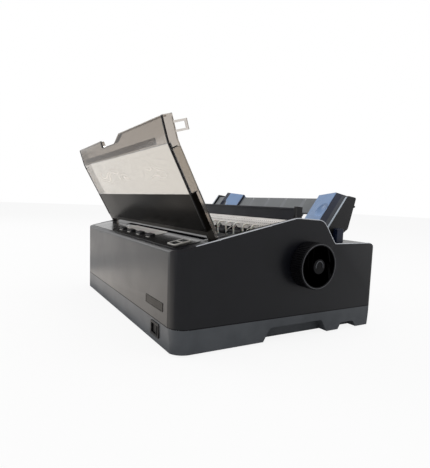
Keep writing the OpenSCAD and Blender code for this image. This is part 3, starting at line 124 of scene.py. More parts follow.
# %% [markdown]
# ## Materials
# A finish on a real machine is a colour, a gloss and a relief. The relief of moulded plastic is a
# fine etched grain. A material is a small graph of nodes, so a helper adds one node, sets what
# it is told and links what feeds it. Colours are written as the sRGB hex values that a painter
# would use, and one function turns them to the linear values that a renderer adds up.

# %% Colour and node helpers


def srgb(code, alpha=1.0):
    """Linear RGBA of an sRGB hex value: ((c + 0.055) / 1.055) ** 2.4, or c / 12.92 when dark."""
    c = np.array([int(code[i:i + 2], 16) for i in (1, 3, 5)]) / 255
    linear = np.where(c <= 0.04045, c / 12.92, ((c + 0.055) / 1.055) ** 2.4)
    return (*linear.tolist(), alpha)


def add(material, kind, settings=None, links=None):
    """Adds a shader node; settings name its attributes or sockets, links name what feeds a socket."""
    node = material.node_tree.nodes.new("ShaderNode" + kind)
    for key, value in (settings or {}).items():
        if isinstance(key, str) and hasattr(node, key):
            setattr(node, key, value)
        else:
            node.inputs[key].default_value = value
    for key, source in (links or {}).items():
        material.node_tree.links.new(source, node.inputs[key])
    return node


def blank(name):
    """A new material with an empty graph and its output node."""
    material = bpy.data.materials.new(name)
    material.use_nodes = True
    material.node_tree.nodes.clear()
    return material, material.node_tree.nodes.new("ShaderNodeOutputMaterial")


# %% [markdown]
# Moulded plastic, rubber and painted metal share one build: two close tints that drift over
# centimetres, an etched grain or a spray texture for relief, and a gloss that varies where hands
# and dust have been. The grain on a real case is about 0.3 mm; it is drawn at 0.6 mm so that it
# still shows at this distance.

# %% A moulded or painted finish
finishes = {}


def finish(name, tint, shade, rough, grain=0.6, relief=0.05, spread=0.08, shader=None, stretch=(1, 1, 1)):
    """Principled surface. Colour: mix(shade, tint, noise at 35 mm). Roughness: rough +- spread
    by noise at 60 mm. Relief: noise at the grain's size in mm, relief deep in mm."""
    material, out = blank(name)
    place = add(material, "TexCoord").outputs["Object"]
    drift = add(material, "TexNoise", {"Scale": 1 / (35 * MM), "Detail": 3.0}, {"Vector": place})
    tone = add(material, "ValToRGB", {}, {"Fac": drift.outputs["Fac"]})
    tone.color_ramp.elements[0].color = srgb(shade)
    tone.color_ramp.elements[0].position = 0.3
    tone.color_ramp.elements[1].color = srgb(tint)
    tone.color_ramp.elements[1].position = 0.7
    wear = add(material, "TexNoise", {"Scale": 1 / (60 * MM), "Detail": 6.0}, {"Vector": place})
    gloss = add(material, "MapRange", {"From Min": 0.35, "From Max": 0.65, "To Min": rough - spread,
                                       "To Max": rough + spread}, {"Value": wear.outputs["Fac"]})
    scaled = add(material, "Mapping", {"Scale": stretch}, {"Vector": place})
    etched = add(material, "TexNoise", {"Scale": 1 / (grain * MM), "Detail": 2.0}, {"Vector": scaled.outputs[0]})
    bump = add(material, "Bump", {"Strength": 1.0, "Distance": relief * MM}, {"Height": etched.outputs["Fac"]})
    surface = add(material, "BsdfPrincipled", shader or {}, {
        "Base Color": tone.outputs["Color"], "Roughness": gloss.outputs[0], "Normal": bump.outputs[0]})
    material.node_tree.links.new(surface.outputs[0], out.inputs["Surface"])
    finishes[name] = material
    return material


DULL = {"IOR": 1.49, "Specular IOR Level": 0.12}
PLASTIC = {"IOR": 1.49, "Specular IOR Level": 0.3}
SATIN = {"IOR": 1.49, "Specular IOR Level": 0.5}
CASE_GLOSS = {**DULL, "Specular IOR Level": 0.27}
BASE_GLOSS = {**DULL, "Specular IOR Level": 0.15}
PRINT_GLOSS = {**DULL, "Specular IOR Level": 0.04}
# Injection-moulded ABS with an etched satin grain, nearly black with a breath of blue
case_abs = finish("charcoal_moulded_abs", "#0c0d13", "#08090e", 0.34, 0.6, 0.012, 0.03, CASE_GLOSS)
# Painted highlights: a pale grey for the beads along the side walls' top edges and a dark grey for the upper case's
# rounded edges
pale_edge_highlight_abs = finish("case_edge_painted_highlight", "#c9ccd2", "#bbbec5", 0.16, 0.6, 0.002, 0.03, SATIN)
bevel_highlight_abs = finish("case_bevel_painted_highlight", "#2b2c32", "#222329", 0.2, 0.6, 0.004, 0.03, SATIN)
# The lower half is the same plastic, painted a lighter slate grey for the light that its front takes from the floor
base_abs = finish("slate_moulded_abs", "#54575b", "#484b4f", 0.46, 0.6, 0.02, 0.04, BASE_GLOSS)
# Polished acrylic sheet, die cut
panel_acrylic = finish("polished_black_acrylic", "#0c0b0e", "#070709", 0.16, 1.5, 0.002, 0.04, PLASTIC)
# Flat black film that paints the shade on the deck behind the panel, and screen-printed polyester labels and plates
deck_shade_paint = finish("flat_black_painted_shade", "#08080a", "#050507", 0.7, 0.8, 0.002, 0.04,
                    {"Specular IOR Level": 0.0})
badge_print = finish("dark_printed_plate", "#454341", "#383735", 0.5, 0.8, 0.005, 0.06, PRINT_GLOSS)
label_print = finish("screen_printed_label", "#d9d0ce", "#cac1be", 0.5, 0.8, 0.005, 0.06, PLASTIC)
white_print = finish("white_printed_plate", "#d9d7d2", "#c9c6c0", 0.45, 0.8, 0.005, 0.06, SATIN)
# Small lamp covers, smoked so that the lamp doesn't show until it is lit
lens_smoke = finish("smoked_lamp_cover", "#2b2d30", "#1c1e20", 0.22, 1.0, 0.003, 0.04, PLASTIC)
# Keys and trim, with a coarser matte etch
key_abs = finish("matte_black_key", "#101013", "#0a0a0c", 0.5, 0.5, 0.04, 0.06, PLASTIC)
trim_abs = finish("matte_black_trim", "#0b0b0e", "#070709", 0.4, 0.5, 0.02, 0.05, DULL)
inner_abs = finish("black_inner_moulding", "#17171a", "#101012", 0.42, 0.8, 0.03, 0.06, PLASTIC)
guide_abs = finish("mid_grey_moulding", "#7d8083", "#6d7073", 0.5, 0.6, 0.02, 0.05, PLASTIC)
bar_abs = finish("ribbed_black_moulding", "#323338", "#27282c", 0.5, 0.6, 0.03, 0.05, DULL)
blue_abs = finish("light_blue_moulding", "#7793ba", "#6786b1", 0.3, 0.7, 0.006, 0.05, SATIN)
navy_abs = finish("navy_moulding", "#131c33", "#0d1528", 0.34, 0.6, 0.015, 0.05, PLASTIC)
strip_abs = finish("dark_navy_side_strip", "#131d2d", "#0f1724", 0.35, 0.7, 0.006, 0.05, SATIN)
lever_abs = finish("blue_lever_cap", "#2c5a94", "#234b80", 0.38, 0.6, 0.02, 0.05, SATIN)
lid_abs = finish("slate_grey_lid", "#5d626b", "#50555d", 0.42, 0.6, 0.02, 0.05, SATIN)
# Natural acetal: a waxy white with light that goes a little way in
acetal = finish("natural_acetal", "#e8e7df", "#dcdad0", 0.4, 1.2, 0.008, 0.05,
                {"IOR": 1.48, "Subsurface Weight": 0.12, "Subsurface Scale": 0.004})
# Rubbers: ground on the platen and the rollers, moulded on the feet and the belt
platen_rubber = finish("ground_platen_rubber", "#1b1b1c", "#131314", 0.62, 0.35, 0.03, 0.06,
                       {"IOR": 1.52, "Specular IOR Level": 0.35}, (0.15, 1, 1))
grey_rubber = finish("soft_grey_rubber", "#38383a", "#2d2d2f", 0.68, 0.4, 0.03, 0.06, {"IOR": 1.52})
foot_rubber = finish("moulded_foot_rubber", "#161616", "#0f0f0f", 0.75, 0.7, 0.05, 0.05, {"IOR": 1.52})
# Black for thin strips of painted shade: along the cover's edges, in the window's gaps and in the case's seam
edge_shade_black = finish("black_painted_shade_line", "#08080b", "#050507", 0.5, 0.8, 0.01, 0.05, DULL)
# Metals keep the default IOR; the relief is what the sheet or the tool leaves
zinc = finish("zinc_plated_sheet", "#c9ccd0", "#b4b8bd", 0.36, 6.0, 0.01, 0.1, {"Metallic": 1.0})
ground_steel = finish("ground_steel_shaft", "#d9dadc", "#c8cacd", 0.2, 0.4, 0.006, 0.06, {"Metallic": 1.0},
                      (4, 1, 1))
nickel = finish("nickel_plated_shell", "#cfcdc7", "#bdbbb4", 0.28, 1.0, 0.006, 0.08, {"Metallic": 1.0})
screw_zinc = finish("zinc_plated_screw", "#a9adb2", "#989ca1", 0.34, 0.8, 0.02, 0.08, {"Metallic": 1.0})
brass = finish("machined_brass", "#d8b86a", "#c8a658", 0.26, 0.4, 0.008, 0.06, {"Metallic": 1.0})
head_cast = finish("dark_cast_heat_sink", "#55585d", "#3f4246", 0.48, 0.8, 0.06, 0.08, {"Metallic": 0.7})
can_paint = finish("dark_painted_can", "#3b3e43", "#2f3236", 0.36, 0.9, 0.02, 0.06, SATIN)
# The ribbon: inked nylon, woven at 0.25 mm and drawn at 0.7 mm
ink_cloth = finish("inked_nylon_ribbon", "#0b0b12", "#06060a", 0.82, 0.7, 0.06, 0.05,
                   {"IOR": 1.53, "Sheen Weight": 0.2})
board_mask = finish("green_solder_mask", "#1c5b33", "#174c2b", 0.28, 1.2, 0.02, 0.05, SATIN)
print(len(finishes), "opaque finishes")

# %% [markdown]
# The cover is smoked polycarbonate: light goes through it and takes the colour of the smoke on the
# way. A shader with full transmission does the same, and multiplies what is behind the sheet by
# its base colour at each of its faces. Below the window the sheet is printed black on its inner
# side, so that it hides the works: seen from outside, that zone has the sheet's own polish over
# black and mirrors the deck and the table in front of it.

# %% See-through and backed finishes


def clear_finish(name, code, rough, wrinkle, relief, ior=1.58, level=0.4):
    """Transmitting plastic. Relief: noise at the wrinkle's size in mm, warped by itself."""
    material, out = blank(name)
    place = add(material, "TexCoord").outputs["Object"]
    flow = add(material, "TexNoise", {"Scale": 1 / (wrinkle * MM), "Detail": 2.0, "Distortion": 0.6},
               {"Vector": place})
    haze = add(material, "MapRange", {"From Min": 0.4, "From Max": 0.7, "To Min": rough, "To Max": rough + 0.06},
               {"Value": flow.outputs["Fac"]})
    bump = add(material, "Bump", {"Strength": 1.0, "Distance": relief * MM}, {"Height": flow.outputs["Fac"]})
    surface = add(material, "BsdfPrincipled",
                  {"Base Color": srgb(code), "Transmission Weight": 1.0, "IOR": ior, "Specular IOR Level": level},
                  {"Roughness": haze.outputs[0], "Normal": bump.outputs[0]})
    material.node_tree.links.new(surface.outputs[0], out.inputs["Surface"])
    finishes[name] = material
    return material


smoked_pc = clear_finish("smoked_polycarbonate", "#978d82", 0.06, 60, 0.02, level=0.12)
wall_pc = clear_finish("thin_smoked_wall", "#c9c3bd", 0.05, 60, 0.02, level=0.12)
window_pc = clear_finish("clear_polycarbonate_window", "#d0c9bf", 0.03, 45, 0.02, level=0.03)
printed_pc = finish("black_printed_polycarbonate", "#0e0c0a", "#080706", 0.24, 8.0, 0.004, 0.03,
                    {"IOR": 1.58, "Specular IOR Level": 0.014, "Specular Tint": srgb("#d8c4ac")})
lip_pc = finish("dark_printed_lip", "#24211d", "#1c1a17", 0.4, 8.0, 0.004, 0.03, DULL)

# %% [markdown]
# ## Dressing the CAD nodes
# The CAD gives every moulding its true size but leaves its edges knife sharp. A moulding tool can't
# make such an edge: each is rounded by a few tenths of a millimetre and catches a thin highlight.
# A copy of the node's mesh is merged and bevelled, and the copy stands for the node. Its normals
# are weighted by face area, so that the big flat faces stay flat up to the rounded edge.

# %% Dress a node


def dress(node, material, edge=0.4, rim=None, sharp=30, segments=2):
    """A copy of a CAD node with its edges rounded by edge mm where faces meet at over sharp degrees.
    The rounded edges take the rim finish if there is one."""
    piece = nodes[node].copy()
    piece.data = nodes[node].data.copy()
    piece.name = piece.data.name = node + "_finished"
    bpy.context.scene.collection.objects.link(piece)
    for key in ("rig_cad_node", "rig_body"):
        if key in piece:
            del piece[key]
    piece.parent = None
    shell = bmesh.new()
    shell.from_mesh(piece.data)
    bmesh.ops.remove_doubles(shell, verts=shell.verts, dist=2e-6)
    bmesh.ops.dissolve_limit(shell, angle_limit=math.radians(0.5), verts=shell.verts, edges=shell.edges)
    shell.to_mesh(piece.data)
    shell.free()
    piece.data.shade_smooth()
    piece.data.set_sharp_from_angle(angle=math.radians(sharp))
    if edge:
        bevel = piece.modifiers.new("rounded edges", "BEVEL")
        bevel.width = edge * MM
        bevel.segments = segments
        bevel.limit_method = "ANGLE"
        bevel.angle_limit = math.radians(sharp)
        bevel.miter_outer = "MITER_ARC"
        bevel.material = 1 if rim else -1
        weighted = piece.modifiers.new("flat faces", "WEIGHTED_NORMAL")
        weighted.keep_sharp = True
        weighted.weight = 90
        piece.data.set_sharp_from_angle(angle=math.radians(80 if edge > 0.2 else sharp))
    piece.data.materials.clear()
    piece.data.materials.append(material)
    if rim:
        piece.data.materials.append(rim)
    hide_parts(node)
    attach(piece, body_of[node])
    return piece


# Node: finish, radius of its edges in mm and, for the upper case, the finish of its rounded edges: a lighter grey
# that paints their highlight.
# A radius of zero keeps a machined or punched edge sharp.
dressed = {
    "upper_case": (case_abs, 1.1, bevel_highlight_abs), "lower_case": (base_abs, 0.7), "control_panel": (panel_acrylic, 0.25),
    "status_plate": (white_print, 0.15), "led_lenses": (lens_smoke, 0.2), "power_switch": (trim_abs, 0.35),
    "switch_bezel": (trim_abs, 0.3), "badge_plate": (badge_print, 0.15), "rubber_feet": (foot_rubber, 0),
    "case_screws": (screw_zinc, 0), "interface_ports": (nickel, 0.2), "power_inlet": (trim_abs, 0.4),
    "cover_window": (window_pc, 0.3), "cover_frame": (smoked_pc, 0.3), "tension_bar": (bar_abs, 0.4),
    "tension_arms": (inner_abs, 0.4), "tension_rollers": (grey_rubber, 0.3), "paper_guide": (guide_abs, 0.4),
    "edge_guide_left": (blue_abs, 0.5), "edge_guide_right": (blue_abs, 0.5), "guide_brackets": (navy_abs, 0.5),
    "base_frame": (zinc, 0), "side_frame_left": (zinc, 0), "side_frame_right": (zinc, 0),
    "platen_roller": (platen_rubber, 0.4), "platen_shaft": (ground_steel, 0.3), "platen_bushings": (acetal, 0.2),
    "platen_knob": (trim_abs, 0.25), "platen_gear": (acetal, 0), "pinch_rollers": (grey_rubber, 0.3),
    "idler_gear": (acetal, 0), "feed_motor": (can_paint, 0.4), "feed_pinion": (brass, 0), "tractor_gear": (acetal, 0),
    "tractor_shaft": (ground_steel, 0.2), "tractor_rod": (ground_steel, 0.2), "tractor_left": (inner_abs, 0.3),
    "tractor_right": (inner_abs, 0.3), "tractor_lid_left": (lid_abs, 0.3), "tractor_lid_right": (lid_abs, 0.3),
    "sprocket_left": (acetal, 0.15), "sprocket_right": (acetal, 0.15), "carriage_shaft": (ground_steel, 0.3),
    "carriage": (inner_abs, 0.3), "print_head": (head_cast, 0.2), "carriage_motor": (can_paint, 0.4),
    "motor_pulley": (brass, 0), "idler_pulley": (acetal, 0), "timing_belt": (foot_rubber, 0),
    "ribbon_cartridge": (inner_abs, 0.6), "ribbon_knob": (trim_abs, 0.3), "ink_ribbon": (ink_cloth, 0),
    "release_lever": (lever_abs, 0.5), "thickness_lever": (trim_abs, 0.5), "main_board": (board_mask, 0),
    "power_supply": (zinc, 0), "feed_button": (key_abs, 0.4), "load_button": (key_abs, 0.4),
    "font_button": (key_abs, 0.4), "pause_button": (key_abs, 0.4),
}
assert set(dressed) == set(nodes)
pieces = {node: dress(node, *how) for node, how in dressed.items()}
print(len(pieces), "nodes dressed")


def level(piece, near=50, least=20, much=3):
    """Applies the modifiers and levels the shading: where a flat region of over least mm2 is much
    larger than its smooth neighbours, it and the corners that touch it take its own normal."""
    graph = bpy.context.evaluated_depsgraph_get()
    mesh = bpy.data.meshes.new_from_object(piece.evaluated_get(graph), depsgraph=graph)
    piece.modifiers.clear()
    piece.data = mesh
    count = len(mesh.polygons)
    normal, area = np.empty(3 * count), np.empty(count)
    mesh.polygons.foreach_get("normal", normal)
    mesh.polygons.foreach_get("area", area)
    normal = normal.reshape(-1, 3)
    sides = np.array([len(face.vertices) for face in mesh.polygons])
    face = np.repeat(np.arange(count), sides)
    vertex, edge = np.empty(len(mesh.loops), np.int64), np.empty(len(mesh.loops), np.int64)
    mesh.loops.foreach_get("vertex_index", vertex)
    mesh.loops.foreach_get("edge_index", edge)
    order = np.argsort(edge, kind="stable")
    pair = edge[order][1:] == edge[order][:-1]
    a, b = face[order][:-1][pair], face[order][1:][pair]
    turn = (normal[a] * normal[b]).sum(axis=1)
    flat, soft = turn > math.cos(math.radians(0.3)), turn > math.cos(math.radians(near))
    region, before = np.arange(count), None
    while before is None or (region != before).any():
        before = region.copy()
        low = np.minimum(region[a[flat]], region[b[flat]])
        np.minimum.at(region, a[flat], low)
        np.minimum.at(region, b[flat], low)
        region = region[region]
    size = np.bincount(region, area, count)[region]
    rival, bent = np.zeros(count), soft & ~flat
    np.maximum.at(rival, region[a[bent]], size[b[bent]])
    np.maximum.at(rival, region[b[bent]], size[a[bent]])
    wide = (size > least * MM * MM) & (size > much * rival[region])
    corner = np.empty(3 * len(mesh.loops))
    mesh.corner_normals.foreach_get("vector", corner)
    corner = corner.reshape(-1, 3)
    corner[wide[face]] = normal[face[wide[face]]]
    beside = {}
    for k in np.flatnonzero(wide[face]):
        beside.setdefault(vertex[k], []).append(face[k])
    for k in np.flatnonzero(~wide[face]):
        close = [f for f in beside.get(vertex[k], ()) if normal[f] @ normal[face[k]] > math.cos(math.radians(near))]
        if close:
            corner[k] = normal[max(close, key=size.__getitem__)]
    mesh.normals_split_custom_set(corner.tolist())


# %% [markdown]
# Some mouldings change finish part of the way: the cover is printed black on its lower zone, the
# edge guides are light blue inside and navy on their outer facets, where the navy paints the shade
# on the faces turned from the light, and the paper guide has black end plates. The mesh is cut
# along the borders, and each face takes the finish of the side it lies on.

# %% Finish by zones


def two_tone(piece, surface, cuts, second, chosen):
    """Cuts the mesh along planes, each (axis, place) with axis x, s or out on a surface, and gives the
    faces whose middle (x, s, out) satisfies chosen the second finish."""
    axes = {"x": np.array([1.0, 0, 0]), "s": surface.up, "out": surface.out}
    shell = bmesh.new()
    shell.from_mesh(piece.data)
    for axis, place in cuts:
        point = (surface.origin * (axis != "x") + axes[axis] * place) * MM
        bmesh.ops.bisect_plane(shell, geom=[*shell.verts, *shell.edges, *shell.faces], dist=1e-7,
                               plane_co=point, plane_no=axes[axis])
    shell.to_mesh(piece.data)
    shell.free()
    middles = np.empty(3 * len(piece.data.polygons))
    piece.data.polygons.foreach_get("center", middles)
    offset = middles.reshape(-1, 3) / MM - surface.origin
    taken = chosen(offset[:, 0], offset @ surface.up, offset @ surface.out)
    piece.data.materials.append(second)
    index = np.empty(len(taken), np.int32)
    piece.data.polygons.foreach_get("material_index", index)
    index[taken] = len(piece.data.materials) - 1
    piece.data.polygons.foreach_set("material_index", index)
    print(piece.name, int(taken.sum()), "faces of", len(taken), "in", second.name)


cover_half = corners("cover_window")[1][0]
# Places up the cover's main face and through its depth, in mm from the hinge and its pin line
lip_end, print_end, cover_bend_at, cover_face = 14.2, 53.2, 102.7, 3.65
print_depth, wall_out, wall_thick = -2.3, 2.0, 2.6
side_strip, end_plate = 4.2, 4.4
two_tone(pieces["cover_frame"], cover, [("s", lip_end), ("s", print_end), ("out", print_depth)], printed_pc,
         lambda x, s, out: (s > lip_end) & (s < print_end) & (out > print_depth))
right_high = corners("edge_guide_right")[1]
left_low, left_high = corners("edge_guide_left")
ridge_out = 12
right_ridge, left_ridge = right_high[0] - ridge_out, left_low[0] + ridge_out
two_tone(pieces["cover_frame"], cover, [], lip_pc, lambda x, s, out: (s < lip_end) & (out > print_depth))
two_tone(pieces["cover_frame"], cover, [("out", wall_out)], wall_pc,
         lambda x, s, out: (np.abs(x) > cover_half - wall_thick) & (s > print_end) & (out < wall_out))
# Navy outer facets of the edge guides: painted shade of the faces turned from the light
right_navy = right_ridge + 0.6
two_tone(pieces["edge_guide_right"], guide, [("x", right_navy)], navy_abs, lambda x, s, out: x > right_navy)
strip_from = right_high[0] - side_strip
two_tone(pieces["edge_guide_right"], guide, [("x", strip_from)], strip_abs, lambda x, s, out: x > strip_from)
left_navy, left_rim = left_ridge + 9, left_high[0] - 2
two_tone(pieces["edge_guide_left"], guide, [("x", left_navy), ("x", left_rim)], navy_abs,
         lambda x, s, out: (x < left_navy) | (x > left_rim))
guide_low, guide_high = corners("paper_guide")
plate_left, plate_right = guide_low[0] + end_plate, guide_high[0] - end_plate
two_tone(pieces["paper_guide"], guide, [("x", plate_left), ("x", plate_right)], inner_abs,
         lambda x, s, out: (x < plate_left) | (x > plate_right))

# %% [markdown]
# ## Fine parts as grids of points
# Every new part is a grid of points in millimetres: rows along a path, columns round a profile.
# One function turns grids into a closed mesh on a body of the model. A profile runs
# counter-clockwise seen against the path's direction, so that its faces point outwards.

# %% From grids to a piece


def skin(name, grids, material, body, around=True, capped=True, sharp=30):
    """One piece from grids of points (rows, columns, 3) in mm. around joins the last column to the
    first, and capped closes the first and the last row with a face."""
    points, faces, used = [], [], 0
    for grid in grids:
        rows, cols = grid.shape[:2]
        index = used + np.arange(rows * cols).reshape(rows, cols)
        ring = np.hstack([index, index[:, :1]]) if around else index
        faces += np.stack([ring[:-1, :-1], ring[:-1, 1:], ring[1:, 1:], ring[1:, :-1]], -1).reshape(-1, 4).tolist()
        if capped:
            faces += [index[0, ::-1].tolist(), index[-1].tolist()]
        points.append(grid.reshape(-1, 3))
        used += rows * cols
    mesh = bpy.data.meshes.new(name)
    mesh.from_pydata((np.concatenate(points) * MM).tolist(), [], faces)
    mesh.shade_smooth()
    mesh.set_sharp_from_angle(angle=math.radians(sharp))
    mesh.materials.append(material)
    piece = bpy.data.objects.new(name, mesh)
    bpy.context.scene.collection.objects.link(piece)
    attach(piece, body)
    return piece


def rounded(wide, deep, r, steps=5):
    """Rounded rectangle, counter-clockwise: corner centre + r (cos t, sin t) over each quarter."""
    quarter = np.linspace(0, np.pi / 2, steps)
    turn = quarter[None, :] + np.arange(4)[:, None] * np.pi / 2
    middle = np.array([[1, 1], [-1, 1], [-1, -1], [1, -1]]) * [wide / 2 - r, deep / 2 - r]
    return (middle[:, None, :] + r * np.stack([np.cos(turn), np.sin(turn)], -1)).reshape(-1, 2)


def tile(surface, x, s, wide, deep, thick, lift=0.0, r=0.8, chamfer=0.15):
    """Grid of a rounded plate on a surface: its outline at the foot and at the shoulder, then drawn
    in by the chamfer at the top."""
    edge, brink = rounded(wide, deep, r), rounded(wide - 2 * chamfer, deep - 2 * chamfer, max(r - chamfer, 0.02))
    return np.stack([surface.at(x + edge[:, 0], s + edge[:, 1], lift),
                     surface.at(x + edge[:, 0], s + edge[:, 1], lift + thick - chamfer),
                     surface.at(x + brink[:, 0], s + brink[:, 1], lift + thick)])


def tube(path, radius, sides=8):
    """Grid of a round bar along a path: path + radius (cos t e1 + sin t e2), with e1 and e2 square to it."""
    path = np.asarray(path, float)
    ahead = np.gradient(path, axis=0)
    ahead /= np.linalg.norm(ahead, axis=1, keepdims=True)
    least = np.eye(3)[np.argmin(np.abs(ahead).sum(axis=0))]
    side = np.cross(ahead, least)
    side /= np.linalg.norm(side, axis=1, keepdims=True)
    over = np.cross(ahead, side)
    turn = np.linspace(0, 2 * np.pi, sides, endpoint=False)[None, :, None]
    return path[:, None] + radius * (np.cos(turn) * side[:, None] + np.sin(turn) * over[:, None])


def strip(surface, x, path, wide, thick, r=0.3):
    """Grid of a flat strip wide mm across X that follows a path of (s, out) points on a surface."""
    path = np.asarray(path, float)
    run = np.gradient(path, axis=0)
    run /= np.linalg.norm(run, axis=1, keepdims=True)
    normal = np.stack([-run[:, 1], run[:, 0]], -1)
    profile = rounded(thick, wide, min(r, thick / 2 - 0.01), 3)
    s = path[:, :1] + normal[:, :1] * profile[None, :, 0]
    out = path[:, 1:] + normal[:, 1:] * profile[None, :, 0]
    return surface.at(x + np.broadcast_to(profile[None, :, 1], s.shape), s, out)


def smooth_path(corner_points, steps=40):
    """Even steps along straight runs between corner points, rounded by a short moving average."""
    corner_points = np.asarray(corner_points, float)
    length = np.concatenate([[0], np.cumsum(np.linalg.norm(np.diff(corner_points, axis=0), axis=1))])
    even = np.linspace(0, length[-1], steps)
    line = np.stack([np.interp(even, length, corner_points[:, k]) for k in range(corner_points.shape[1])], -1)
    padded = np.concatenate([line[:1], line, line[-1:]])
    return (padded[:-2] + padded[1:-1] + padded[2:]) / 3


# %% [markdown]
# ## The cover's fine parts
# A thin black strip runs along both sides of the cover and up the bent band and paints the shade
# along its edges; small black blocks paint the shade in the gaps where the window's flange meets the
# frame, and a dark smoked strip behind the bend paints the shadow along the bend. The notch, through
# which the print line is read, has a return wall behind it, as has the free edge.

# %% Painted shade strips, gap blocks and bend shadow of the cover
band_angle = 11.2
band = Surface(cover.at(0, cover_bend_at, cover_face).reshape(3), deck_angle + cover_open - band_angle, "cover")
band_len = 24.0
band_s = math.cos(math.radians(band_angle))
band_o = math.sin(math.radians(band_angle))
band_end = (cover_bend_at + band_len * band_s, cover_face - band_len * band_o)
# Black strips along the cover's sides and up the band: painted shade along the edges
shade_line_wide, shade_line_thick = 2.5, 0.9
shade_line_path = [(17.0, cover_face), (cover_bend_at, cover_face), band_end]
shade_line_x = cover_half - shade_line_wide / 2 + 0.15
skin("cover_edge_shade_lines", [strip(cover, side * shade_line_x, smooth_path(shade_line_path, 46), shade_line_wide, shade_line_thick)
                     for side in (-1, 1)], edge_shade_black, "cover")
# Black blocks where the window's flange meets the frame: painted shade in the gaps
gap_shade_at = (print_end + 0.2, 97.4)
skin("window_gap_shade_blocks", [tile(cover, side * (cover_half - 0.25), s, 1.0, 1.1, 6.2, -3.2, 0.25)
                     for side in (-1, 1) for s in gap_shade_at], edge_shade_black, "cover")
# A dark smoked strip behind the bend: painted shadow along the bend
shade_pc = clear_finish("smoked_bend_shadow_strip", "#6a6056", 0.1, 50, 0.02)
skin("cover_bend_shadow_strip", [tile(band, -8, 4.6, 286, 6.4, 1.2, -3.6, 0.6)], shade_pc, "cover")
# Return walls: behind the notch and behind the free edge on both sides of it
notch = [(-41.0, 24.0), (-41.0, 15.3), (14.0, 15.3), (43.0, 24.0)]
edge_s, corner_in = 23.2, cover_half - 3.0
free_edge = [[(-corner_in, edge_s), (-42.0, edge_s)], [(44.0, edge_s), (corner_in, edge_s)]]
wall_from, wall_deep, wall_aside = 2.0, 3.4, -1.3


def return_wall(points, deep, thick, steps=24):
    """Grid of a thin wall behind the band: a path of (x, s) points carried thick mm aside and deep mm back."""
    line = smooth_path(points, steps)
    run = np.gradient(line, axis=0)
    run /= np.linalg.norm(run, axis=1, keepdims=True)
    aside = np.stack([-run[:, 1], run[:, 0]], -1)
    wall_to = wall_from + deep
    corner = np.array([[0, -wall_from], [thick, -wall_from], [thick, -wall_to], [0, -wall_to]])[::-1]
    place = line[:, None] + aside[:, None] * corner[None, :, :1]
    return band.at(place[..., 0], place[..., 1], np.broadcast_to(corner[None, :, 1], place.shape[:2]))


skin("cover_return_walls", [return_wall(path, wall_deep, wall_aside) for path in (notch, *free_edge)], smoked_pc,
     "cover")

# %% [markdown]
# The window still has the thin film that protects it in its box. The film has crept and puckered,
# so it shows pale looping creases. They are the level lines of a smooth random height: a point is
# on a crease where a sum of a few sine waves, bent by other waves, is near a whole number. The
# same value lifts the film and, as an attribute, makes the creases milky.

# %% Protective film on the window
# Places where the film has lifted: middle and half width across, middle and half width up, strength
lifted_patches = ((-55, 75, 79, 9, 1.0), (112, 34, 80, 13, 0.7))
crease_rate, crease_wide = 1.6, 0.11


def pucker(x, s):
    """Crease strength 0..1: exp(-(d / w)^2) with d the distance of a warped sum of sine waves from a
    whole number, times two soft patches where the film has lifted."""
    u, v = x / 26, s / 9
    warp_u = u + 0.9 * np.sin(1.7 * v + 0.6 * u) + 0.35 * np.sin(3.1 * u - 1.3 * v)
    warp_v = v + 0.8 * np.sin(1.3 * u + 0.4) + 0.3 * np.sin(2.9 * v + 1.1 * u)
    height = np.sin(0.8 * warp_u + 1.1 * np.sin(0.7 * warp_v)) + 0.6 * np.sin(0.5 * warp_u - 1.4 * warp_v)
    off = np.abs((height * crease_rate) - np.round(height * crease_rate))
    patch = sum(strength * np.exp(-((x - mid_x) / wide) ** 2 - ((s - mid_s) / high) ** 2)
                for mid_x, wide, mid_s, high, strength in lifted_patches)
    return np.exp(-(off / crease_wide) ** 2) * np.clip(patch * 1.3, 0, 1), np.clip(patch, 0, 1)


film_x, film_s = np.linspace(-cover_half + 4, cover_half - 5, 420), np.linspace(print_end + 1.2, 98.5, 110)
film_x, film_s = np.meshgrid(film_x, film_s)
crease, lifted = pucker(film_x, film_s)
film_off, crease_high, lift_high = 0.12, 0.18, 0.1
film_grid = cover.at(film_x, film_s, cover_face + film_off + crease_high * crease + lift_high * lifted)
film_pe, film_out = blank("creased_protective_film")
milky = add(film_pe, "Attribute", {"attribute_name": "crease"})
cloud = add(film_pe, "MapRange", {"From Min": 0.0, "From Max": 1.0, "To Min": 0.03, "To Max": 0.62},
            {"Value": milky.outputs["Fac"]})
film_surface = add(film_pe, "BsdfPrincipled", {"Base Color": srgb("#efeae4"), "Roughness": 0.6, "IOR": 1.5,
                                               "Specular IOR Level": 0.0}, {"Alpha": cloud.outputs[0]})
film_pe.node_tree.links.new(film_surface.outputs[0], film_out.inputs["Surface"])
film = skin("window_film", [film_grid], film_pe, "cover", around=False, capped=False, sharp=80)
film.data.attributes.new("crease", "FLOAT", "POINT").data.foreach_set("value", crease.ravel().astype(np.float32))
print("film of", len(film.data.polygons), "faces")

# %% [markdown]
# ## The control panel's print
# Behind the buttons lies a pale printed plate, left blank here, and in front of each button a short
# white dash. On the real panel these are screen printed on the back of the acrylic. A strip of
# flat black film without gloss lies on the deck behind the panel: it paints the shade that the cover
# casts there. A narrow strip runs forward from its left end: the panel covers it, so that only the
# few millimetres behind the panel show.

# %% Plate and dashes on the panel
panel_proud = 0.4
film_from, film_deep = 39.6, 6.2
button_x = [float(corners(button)[0][0] + corners(button)[1][0]) / 2
            for button in ("feed_button", "load_button", "font_button", "pause_button")]
plate_s, dash_s = 31.8, 14.6
film_thick, band_wide = 0.14, 6
